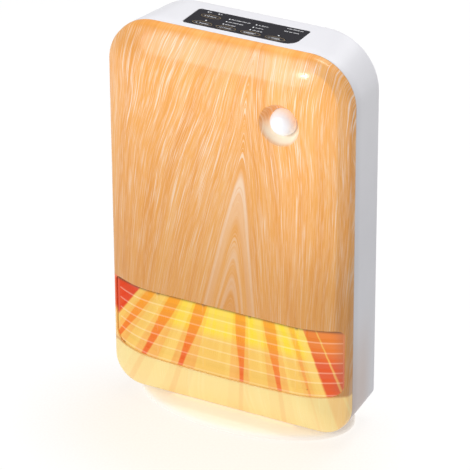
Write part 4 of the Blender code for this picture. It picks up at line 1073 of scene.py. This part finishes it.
def bar(start, end, width):
    """The outline of a straight bar with square ends."""
    along = Vector((end[0] - start[0], end[1] - start[1])).normalized() * width / 2
    side = Vector((-along.y, along.x))
    a, b = Vector(start) - along, Vector(end) + along
    return [tuple(a + side), tuple(a - side), tuple(b - side), tuple(b + side)]


def arc_bar(centre, radius, start, end, width, steps=20):
    """The outline of an arc drawn with a line of some width. Angles in degrees."""
    turns = [radians(start + (end - start) * i / steps) for i in range(steps + 1)]
    outer, inner = ([(centre[0] + r * cos(a), centre[1] + r * sin(a)) for a in turns]
                    for r in (radius + width / 2, radius - width / 2))
    return outer + inner[::-1]


STROKE = 0.55 * MM


def clock_mark(x, y):
    return [arc_bar((x, y), 2.0 * MM, 2, 358, STROKE, 40), bar((x, y), (x, y + 1.3 * MM), STROKE * 0.8),
            bar((x, y), (x + 1.0 * MM, y), STROKE * 0.8)]


def cycle_mark(x, y):
    marks = [arc_bar((x, y), 2.0 * MM, 20, 160, STROKE), arc_bar((x, y), 2.0 * MM, 200, 340, STROKE)]
    for side in (1, -1):
        tip = (x + side * 2.9 * MM, y)
        arrow = ((0, 0.9), (-2.0, 0.9), (-1.0, -0.5))
        marks.append([(tip[0] + side * across * MM, tip[1] + side * up * MM) for across, up in arrow])
    return marks


def wave_mark(x, y):
    marks = []
    for column in (-1.8, 0, 1.8):
        centre = x + column * MM
        marks.append(arc_bar((centre, y + 1.0 * MM), 0.9 * MM, -80, 80, STROKE * 0.8, 10))
        marks.append(arc_bar((centre, y - 1.0 * MM), 0.9 * MM, 100, 260, STROKE * 0.8, 10))
    return marks


def sensor_mark(x, y):
    marks = [circle(0.75 * MM, (x, y), 16)]
    for radius in (1.6 * MM, 2.5 * MM):
        marks.append(arc_bar((x, y), radius, -48, 48, STROKE))
        marks.append(arc_bar((x, y), radius, 132, 228, STROKE))
    return marks


def power_mark(x, y):
    return [arc_bar((x, y - 0.2 * MM), 2.0 * MM, 120, 420, STROKE, 32),
            bar((x, y + 0.5 * MM), (x, y + 2.3 * MM), STROKE)]


KEY_MARKS = {
    "key_timer": clock_mark,
    "key_auto": cycle_mark,
    "key_mode": wave_mark,
    "key_sensor": sensor_mark,
    "key_power": power_mark,
}


KEY_WORDS = {  # rows of dashes beside each key's symbol: height in mm and count
    "key_timer": ((0, 6),),
    "key_auto": ((0, 7),),
    "key_mode": ((0, 6),),
    "key_sensor": ((1.1, 6), (-1.1, 5)),
    "key_power": ((1.1, 5), (-1.1, 6)),
}
KEY_WORD_SPLIT = 4.2 * MM
KEY_WORD_INDENT = 3.2 * MM
PRINT_SUNK, PRINT_PROUD = 0.05 * MM, 0.03 * MM
DASH_HEIGHT, DASH_WIDTH, DASH_GAP, DASH_SPACE = 1.5 * MM, 0.72 * MM, 0.38 * MM, 0.75 * MM


def key_print(node):
    """The key's plain symbol, the dashes beside it and its thin gold outline."""
    at = middle_of(node)
    maker = bmesh.new()
    outlines = KEY_MARKS[node](at.x - KEY_WORD_SPLIT, at.y)
    for row, count in KEY_WORDS[node]:
        outlines += dashes(at.x - KEY_WORD_SPLIT + KEY_WORD_INDENT, at.y + row * MM, (count,))
    hollow = KEY_TOP - KEY_HOLLOW * MM
    for outline in outlines:
        flat_shape(maker, outline, hollow - PRINT_SUNK, hollow + PRINT_PROUD)
    mark = finish(f"{node}_mark", maker, PRINT)
    attach(mark, "light_guide", body=KEY_BODIES[node])
    maker = bmesh.new()
    flat_ring(maker, oval(at, -0.55 * MM), oval(at, -0.95 * MM), KEY_TOP - 0.1 * MM, KEY_TOP)
    ring = finish(f"{node}_outline", maker, GOLD)
    attach(ring, "louvre_plastic", body=KEY_BODIES[node])


def dashes(x, y, words):
    """Outlines of a row of plain dashes, in groups as in a printed label. words holds each group's count."""
    outlines = []
    low = y - DASH_HEIGHT / 2
    for count in words:
        for number in range(count):
            high = low + DASH_HEIGHT * (1.0 if (number * 7 + count) % 3 else 0.72)
            right = x + DASH_WIDTH
            outlines.append([(x, low), (right, low), (right, high), (x, high)])
            x = right + DASH_GAP
        x += DASH_SPACE
    return outlines


LABELS = (  # left end and height of each row of dashes, in mm behind the seam, and its groups
    (-44.6, 40, (2,)), (-33.1, 40, (2,)),
    (-18.3, 34, (4, 5, 4, 3)), (-18.3, 27.7, (3, 6, 4)), (-18.3, 21.4, (5, 4)),
    (10.6, 34, (2, 4, 2)), (10.6, 27.7, (1, 3, 2)), (10.6, 21.4, (3, 3, 2)),
    (37.5, 40, (5, 6, 3)), (37.5, 33.5, (4, 3, 6)),
)


def panel_print():
    """Rows of plain dashes in place of labels."""
    maker = bmesh.new()
    for x, y, words in LABELS:
        for outline in dashes(x * MM, SEAM + y * MM, words):
            flat_shape(maker, outline, PLATE_HIGH.z - PRINT_SUNK, PLATE_HIGH.z + PRINT_PROUD)
    return attach(finish("panel_print", maker, PRINT), "light_guide")


def indicators():
    """Small domed ends of the light guide."""
    maker = bmesh.new()
    for at in light_places():
        chain(maker, [add_ring(maker, level(circle(LIGHT_RADIUS * share, at, 16), PLATE_HIGH.z + rise * MM))
                      for share, rise in ((1, -0.6), (1, -0.02), (0.85, 0.06), (0.45, 0.1))])
    return attach(finish("indicator_lights", maker, INDICATOR, 60), "light_guide")


# Sensor dome --------

def sensor_dome():
    """Milky dome with fine stepped rings, and its flange behind the panel."""
    centre_y = FRONT + DISH_DEPTH - 0.2 * MM
    outside = []
    for step in range(0, 61):
        angle = radians(1.5 * step)
        radius = LENS_RADIUS - (0.05 * MM if step % 4 == 0 and 0 < step < 56 else 0.0)
        outside.append((radius * cos(angle), centre_y - radius * sin(angle)))
    outside[-1] = (0.0, outside[-1][1])
    inside = [(0.91 * LENS_RADIUS * cos(radians(a)), centre_y - 0.91 * LENS_RADIUS * sin(radians(a)))
              for a in range(90, -1, -9)]
    inside[0] = (0.0, inside[0][1])
    flange = FRONT + DISH_DEPTH + 2.3 * MM
    profile = [(16 * MM, flange), (LENS_RADIUS, flange), *outside, *inside,
               (0.91 * LENS_RADIUS, flange + 1.5 * MM), (16 * MM, flange + 1.5 * MM)]
    made = turned("sensor_dome", "Y", SENSOR, profile, DOME, 72, 50)
    return attach(made, "lens_white", "sensor_lens")


# Outlet --------

LOUVRE_SETBACK = 5 * MM
LOUVRE_DEPTH = 8 * MM
LOUVRE_BARS = 5
LOUVRE_BAR = 1.6 * MM
LOUVRE_FIRST = 14.2 * MM
LOUVRE_PITCH = 11.5 * MM
LOUVRE_HALF = 125.5 * MM
LOUVRE_END = LOUVRE_HALF - 1.6 * MM
RIBS = (-76 * MM, -25.4 * MM, 25.4 * MM, 76 * MM)
FIN_FOLDS = 68
FIN_SHEET = 0.3 * MM


def louvre_y(x):
    """Depth of the louvre's front edge, bowed like the panel."""
    return FRONT + crown(HALF - abs(x)) + LOUVRE_SETBACK


def bowed_bar(maker, z_low, z_high, deep, stations):
    """One horizontal bar with a rounded front edge, along the bowed front. The edge has the second finish."""
    radius = min((z_high - z_low) / 2, 0.8 * MM)
    turns = [radians(angle) for angle in range(0, 91, 15)]
    section = [(deep, z_low), (deep, z_high)]
    section += [(radius * (1 - sin(a)), z_high - radius * (1 - cos(a))) for a in turns]
    section += [(radius * (1 - cos(a)), z_low + radius * (1 - sin(a))) for a in turns]
    rings = [add_ring(maker, [(x, louvre_y(x) + y, z + outlet_rise(x, z)) for y, z in section])
             for x in stations]
    for first, second in zip(rings, rings[1:]):
        bridge(maker, first, second)
        for face in maker.faces[-len(section) + 2:-1]:
            face.material_index = 1
    maker.faces.new(rings[0])
    maker.faces.new(rings[-1])


def outlet_louvre():
    """Five bowed bars between two rails, on a comb of upright ribs behind them."""
    stations = [LOUVRE_HALF * sin(radians(a)) for a in range(-90, 91, 3)]
    spans = []
    for number in range(LOUVRE_BARS):
        middle = OUTLET_LOW + LOUVRE_FIRST + number * LOUVRE_PITCH
        spans.append((middle - LOUVRE_BAR / 2, middle + LOUVRE_BAR / 2))
    spans += [(LOUVRE_LOW.z, OUTLET_LOW + 0.6 * MM), (OUTLET_HIGH - 0.6 * MM, LOUVRE_HIGH.z)]
    maker = bmesh.new()
    for low, high in spans:
        bowed_bar(maker, low, high, LOUVRE_DEPTH, stations)
    made = finish("louvre_bars", maker, BARS_PAINTED_GLOW, 60)
    made.data.materials.append(EDGES_PAINTED_HIGHLIGHT)
    attach(made, "louvre_plastic", "outlet_louvre")
    maker = bmesh.new()
    for rib in (*RIBS, -LOUVRE_END, LOUVRE_END):
        front = louvre_y(rib) + (-2 * MM if abs(rib) == LOUVRE_END else LOUVRE_DEPTH / 2)
        back = louvre_y(rib) + LOUVRE_DEPTH - 0.1 * MM
        outline = rounded_box((rib - 0.8 * MM, front), (rib + 0.8 * MM, back), (0.3 * MM,) * 4, arc=3)
        flat_shape(maker, outline, LOUVRE_LOW.z + 0.2 * MM, LOUVRE_HIGH.z - 0.2 * MM)
    return attach(finish("louvre_ribs", maker, BARS_PAINTED_GLOW), "louvre_plastic")


def fin_rows():
    """Closely folded aluminium fins between the ceramic bars."""
    for number in (1, 2, 3):
        low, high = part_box(f"fin_row_{number}")
        pitch = (high[0] - low[0]) / FIN_FOLDS
        route = []
        for i in range(FIN_FOLDS + 1):
            ends = (low[2] + FIN_SHEET, high[2] - FIN_SHEET)
            route += [(low[0] + i * pitch, z) for z in (ends if i % 2 == 0 else ends[::-1])]
        left, right = [], []
        for i, (x, z) in enumerate(route):
            before, after = route[max(i - 1, 0)], route[min(i + 1, len(route) - 1)]
            along = Vector((after[0] - before[0], after[1] - before[1])).normalized() * FIN_SHEET / 2
            left.append((x - along.y, z + along.x))
            right.append((x + along.y, z - along.x))
        maker = bmesh.new()
        (left_front, right_front), (left_back, right_back) = (
            [add_ring(maker, upright(line, y)) for line in (left, right)] for y in (low[1], high[1]))
        sections = list(zip(left_front, left_back, right_back, right_front))
        chain(maker, sections)
        made = finish(f"folded_fins_{number}", maker, FINS_PAINTED_GLOW)
        attach(made, "aluminium", f"fin_row_{number}")


def heater_sill():
    """Thin upright sill that closes the gap under the heater, seen through the louvre."""
    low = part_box("heater_frame_left")[0]
    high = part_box("heater_frame_right")[1]
    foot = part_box("outlet_surround")[0][2] + 0.3 * MM
    section = rounded_box((low[1], foot), (low[1] + 1.4 * MM, low[2] - 0.2 * MM), (0.6 * MM,) * 4, arc=4)
    made = loft("heater_sill", [[(x, y, z) for y, z in section] for x in (low[0], high[0])], DUCT_PAINTED_GLOW)
    return attach(made, "duct_plastic")


# Back and stand --------

def base_plate():
    """Low oval plate with a rounded edge and recesses for its feet and screws."""
    middle, half = (BASE_LOW + BASE_HIGH) / 2, (BASE_HIGH - BASE_LOW) / 2
    levels = [(1.6, 1.0), (1.8, 0.5), (2.3, 0.15), (2.8, 0.0), (4.4, 0.0), (5.4, 0.25),
              (6.4, 1.0), (7.2, 2.3), (7.8, 4.2), (8.2, 6.6), (8.5, 9.6), (8.6, 13.0)]
    loops = []
    for z, inset in levels:
        loops.append([(middle.x + (half.x - inset * MM) * x, middle.y + (half.y - inset * MM) * y, z * MM)
                      for x, y in circle(1.0, sides=144)])
    base = loft("base_oval", loops, STAND_WHITE_PAINTED_GLOW, 40)
    low = -3 * MM
    feet = [middle_of(f"rubber_foot_{number}") for number in (1, 2, 3, 4)]
    cuts = [rod_tool("Z", at, 9.3 * MM, low, 3 * MM) for at in feet]
    for number in (1, 2):
        at = middle_of(f"base_screw_{number}")
        cuts += [rod_tool("Z", at, 4 * MM, low, 4.6 * MM), rod_tool("Z", at, 1.9 * MM, low, 20 * MM, 16)]
    cuts.append(rod_tool("Z", middle_of("tip_plunger"), 3 * MM, low, 20 * MM))
    solved(base, cuts)
    smooth_again(base, 40)
    return attach(base, "white_plastic", "base_plate")


def rubber_feet():
    """Round feet with two shallow grip grooves."""
    for number in (1, 2, 3, 4):
        node = f"rubber_foot_{number}"
        low, high = corners(node)
        radius = (high.x - low.x) / 2
        profile = [(0.0, 0.0)]
        for groove in (0.35, 0.68):
            profile += [(radius * groove + aside * MM, rise * MM)
                        for aside, rise in ((-0.6, 0.0), (-0.4, 0.35), (0.4, 0.35), (0.6, 0.0))]
        profile += [(radius - 0.8 * MM, 0.0), (radius - 0.2 * MM, 0.3 * MM), (radius, 0.9 * MM),
                    (radius, high.z), (0.0, high.z)]
        foot = turned(f"foot_pad_{number}", "Z", middle_of(node), profile, RUBBER, 48, 40)
        attach(foot, "rubber", node)


def screw(node, axis, direction):
    """Pan-head screw with a cross recess. direction says which way its shank points along the axis."""
    low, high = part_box(node)
    index = "XYZ".index(axis)
    head = high[index] if direction < 0 else low[index]
    others = [value for i, value in enumerate(middle_of(node)) if i != index]
    radius = 3.2 * MM
    profile = [(0.0, 0.0), (radius * 0.55, 0.05), (radius * 0.82, 0.3), (radius, 0.9), (radius, 2.1),
               (1.4 * MM, 2.1)]
    length = abs(high[index] - low[index]) / MM
    turn = 3.0
    while turn < length - 2.5:
        profile += [(1.4 * MM, turn), (1.05 * MM, turn + 0.35), (1.4 * MM, turn + 0.7)]
        turn += 1.0
    profile += [(1.1 * MM, length - 1), (0.0, length)]
    profile = [(r, head + direction * along * MM) for r, along in profile]
    made = turned(f"{node}_cross", axis, others, profile, STEEL, 32, 40)
    tools = []
    for across in ((2.1 * MM, 0.42 * MM), (0.42 * MM, 2.1 * MM)):
        loops = []
        for along, share in ((-1.0, 1.0), (1.5, 0.55)):
            a, b = across[0] * share, across[1] * share
            square = [(others[0] + x, others[1] + y) for x, y in ((a, b), (-a, b), (-a, -b), (a, -b))]
            loops.append([point_on(axis, pair, head + direction * along * MM) for pair in square])
        tools.append(tool(loops))
    solved(made, tools)
    smooth_again(made, 40)
    attach(made, "steel", node)


def cord_gland():
    """Dark gland with a rounded rim and stepped ribs around its bore, which a pierced membrane closes."""
    gland = middle_of("cord_gland")
    low, high = corners("cord_gland")
    profile = [(3.6 * MM, low.y), (6.7 * MM, low.y), (6.7 * MM, BACK + GAP), (9.5 * MM, BACK + GAP)]
    profile += [(radius * MM, high.y - depth * MM) for radius, depth in (
        (9.5, 1.4), (9.2, 0.7), (8.4, 0.1), (7.4, 0.0), (7.0, 0.5), (6.4, 0.5), (6.0, 0.0),
        (4.6, 0.0), (3.9, 0.3), (3.6, 1.0), (3.6, 2.2), (0.15, 2.4), (0.15, 3.2), (3.6, 3.4))]
    made = turned("gland_rim", "Y", (gland.x, gland.z), profile, DARK, 48, 40)
    return attach(made, "dark_plastic", "cord_gland")


def handle_cup():
    """Hand hold set into the back, with rounded inner corners."""
    low, high = CUP_LOW, CUP_HIGH
    wall = 2 * MM
    outline = box_outline((low.x, low.z), (high.x, high.z), 9 * MM, 10)
    outer = [(0.0, high.y), (0.0, low.y + 2 * MM), (-0.6 * MM, low.y + 0.6 * MM), (-2 * MM, low.y)]
    inner = [(-wall - inset * MM, low.y + wall + rise * MM)
             for inset, rise in ((6, 0.0), (2.4, 0.5), (0.7, 2.2), (0, 5))]
    inner.append((-wall, high.y))
    maker = bmesh.new()
    rings = [add_ring(maker, upright(outline(grow), y)) for grow, y in outer[::-1] + inner[::-1]]
    chain(maker, rings)
    return attach(finish("hand_hold", maker, WHITE, 50), "white_plastic", "handle_cup")


# Carried-over CAD nodes --------

NODE_MATERIALS = (  # finishes of the CAD nodes that stay
    (RUBBER, "bearing_holder"),
    (CERAMIC_PAINTED_GLOW, "ceramic_bar_1", "ceramic_bar_2"),
    (BRASS, "fan_bearing", "heater_terminal_live", "heater_terminal_neutral"),
    (MOTOR, "fan_motor"),
    (DARK, "fan_rotor", "tip_switch"),
    (STEEL, "fan_shaft", "thermal_cutout", "tip_spring"),
    (LEAD_RED, "lead_live"),
    (LEAD_GREY, "lead_motor"),
    (LEAD_BLUE, "lead_neutral"),
    (GUIDE, "light_guide"),
    (CERAMIC, "thermal_fuse"),
    (WHITE, "tip_plunger"),
)

SOFT_COPIES = (  # finish, slot, edge width in mm, and the nodes that have them
    (WHITE, "white_plastic", 0.35, "intake_cover"),
    (WHITE, "white_plastic", 0.4, "filter_frame"),
    (FILTER, "filter_mesh", 0.3, "dust_filter"),
    (STAND_WHITE_PAINTED_GLOW, "white_plastic", 0.6, "base_pedestal"),
    (DUCT_PAINTED_GLOW, "duct_plastic", 0.2, "outlet_surround"),
    (DUCT_PAINTED_GLOW, "duct_plastic", 0.4, "heater_frame_left", "heater_frame_right"),
    (WALLS_PAINTED_GLOW, "duct_plastic", 0.3, "duct_front", "duct_rear", "duct_end_left", "duct_end_right"),
    (STEEL, "steel", 0.2, "motor_bracket"),
    (BOARD, "circuit_board", 0.1, "key_board", "power_board", "sensor_board"),
    (DARK, "dark_plastic", 0.4, "relay"),
)


def carried_over():
    """Finishes for the CAD nodes that stay, and rounded copies of the plain moulded ones."""
    for material, slot, width, *nodes in SOFT_COPIES:
        for node in nodes:
            body = "cover" if node in ("intake_cover", "dust_filter") else "housing"
            soft_copy(f"{node}_moulded", node, material, width * MM, body=body, slot=slot)
    for material, *nodes in NODE_MATERIALS:
        for slot in [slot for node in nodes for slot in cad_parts[node].material_slots]:
            slot.material = material


# Stage --------

CAMERA_TARGET = Vector((-0.0219, 0.0158, 0.1749))
CAMERA_ROLL = radians(-0.286)
CAMERA_DISTANCE = 3.138
FOCAL_SHARE = 3217.8 / 470  # focal length over the picture's width
SENSOR_WIDTH = 36.0


def camera():
    """Long lens from the front right, looking down."""
    back = Vector((sin(CAMERA_AZIMUTH) * cos(CAMERA_ELEVATION), -cos(CAMERA_AZIMUTH) * cos(CAMERA_ELEVATION),
                   sin(CAMERA_ELEVATION)))
    across = Vector((cos(CAMERA_AZIMUTH), sin(CAMERA_AZIMUTH), 0))
    upward = back.cross(across)
    right = across * cos(CAMERA_ROLL) + upward * sin(CAMERA_ROLL)
    up = upward * cos(CAMERA_ROLL) - across * sin(CAMERA_ROLL)
    data = bpy.data.cameras.new("camera")
    data.sensor_width = SENSOR_WIDTH
    data.lens = FOCAL_SHARE * SENSOR_WIDTH
    data.clip_end = 50
    made = bpy.data.objects.new("camera", data)
    made.matrix_world = Matrix.Translation(CAMERA_TARGET + back * CAMERA_DISTANCE) @ Matrix(
        (right, up, back)).transposed().to_4x4()
    bpy.context.scene.collection.objects.link(made)
    bpy.context.scene.camera = made


def area_light(name, place, target, size, power, colour=(1, 1, 1)):
    data = bpy.data.lights.new(name, "AREA")
    data.shape = "DISK"
    data.size = size
    data.energy = power
    data.color = colour
    made = bpy.data.objects.new(name, data)
    made.location = place
    made.rotation_euler = (Vector(target) - Vector(place)).to_track_quat("-Z", "Y").to_euler()
    bpy.context.scene.collection.objects.link(made)
    return made


def floor_finish():
    """White studio floor with a faint painted pool of warmer light in front of the outlet."""
    made = Surface("floor_pale", (0.10, 0.10, 0.10), 0.9)
    x, y, _ = made.axes()
    # Painted pool of light on the floor in front of the outlet.
    away = ((x / 1.35) ** 2.0 + (y + 70.0) ** 2.0).root()
    near = made.step(away, 175.0, 60.0, 0.0, 0.8)
    made.glow(made.mix(near, (0.890, 0.890, 0.890), (0.920, 0.840, 0.750)))
    made.set("Specular IOR Level", 0.1)
    grit = made.noise(made.place(), 400.0, 2.0)
    made.tint(grit, 0.3, 0.7, (0.10, 0.10, 0.10), (0.12, 0.12, 0.12))
    return made.material


def stage():
    """Plain pale floor, pale surroundings and soft lights."""
    scene = bpy.context.scene
    scene.view_settings.view_transform = "Standard"
    world = bpy.data.worlds.new("studio")
    world.use_nodes = True
    world.node_tree.nodes["Background"].inputs[0].default_value = (1, 1, 1, 1)
    world.node_tree.nodes["Background"].inputs[1].default_value = 0.28
    scene.world = world
    maker = bmesh.new()
    ring = add_ring(maker, [(x, y, 0) for x, y in circle(12.0, sides=64)])
    maker.faces.new(ring)
    plane = finish("studio_floor", maker, floor_finish(), outward=False)
    area_light("key_light", (-1.09, -2.60, 1.35), (0, 0, 0.25), 1.2, 33)
    area_light("top_light", (0.25, 0.3, 2.8), (0, 0, 0.3), 1.4, 52)
    area_light("back_light", (0.55, 2.3, 1.95), (0.1, 0, 0.38), 1.2, 16)
    area_light("spark_light", (-0.012, -0.259, 0.474), (0.087, -0.044, 0.394), 0.02, 0.12)
    area_light("outlet_glow", (0, FRONT - 0.02, 0.07), (0, FRONT - 0.12, 0.0), 0.20, 0.05, (1.0, 0.6, 0.25))


def main():
    camera()
    front_panel()
    rear_casing()
    control_plate()
    for node in KEY_BODIES:
        key_cap(node)
        key_print(node)
    panel_print()
    indicators()
    sensor_dome()
    outlet_louvre()
    fin_rows()
    heater_sill()
    base_plate()
    rubber_feet()
    for number in (1, 2, 3, 4):
        screw(f"casing_screw_{number}", "Y", -1)
    for number in (1, 2):
        screw(f"base_screw_{number}", "Z", 1)
    cord_gland()
    handle_cup()
    carried_over()
    stage()


main()
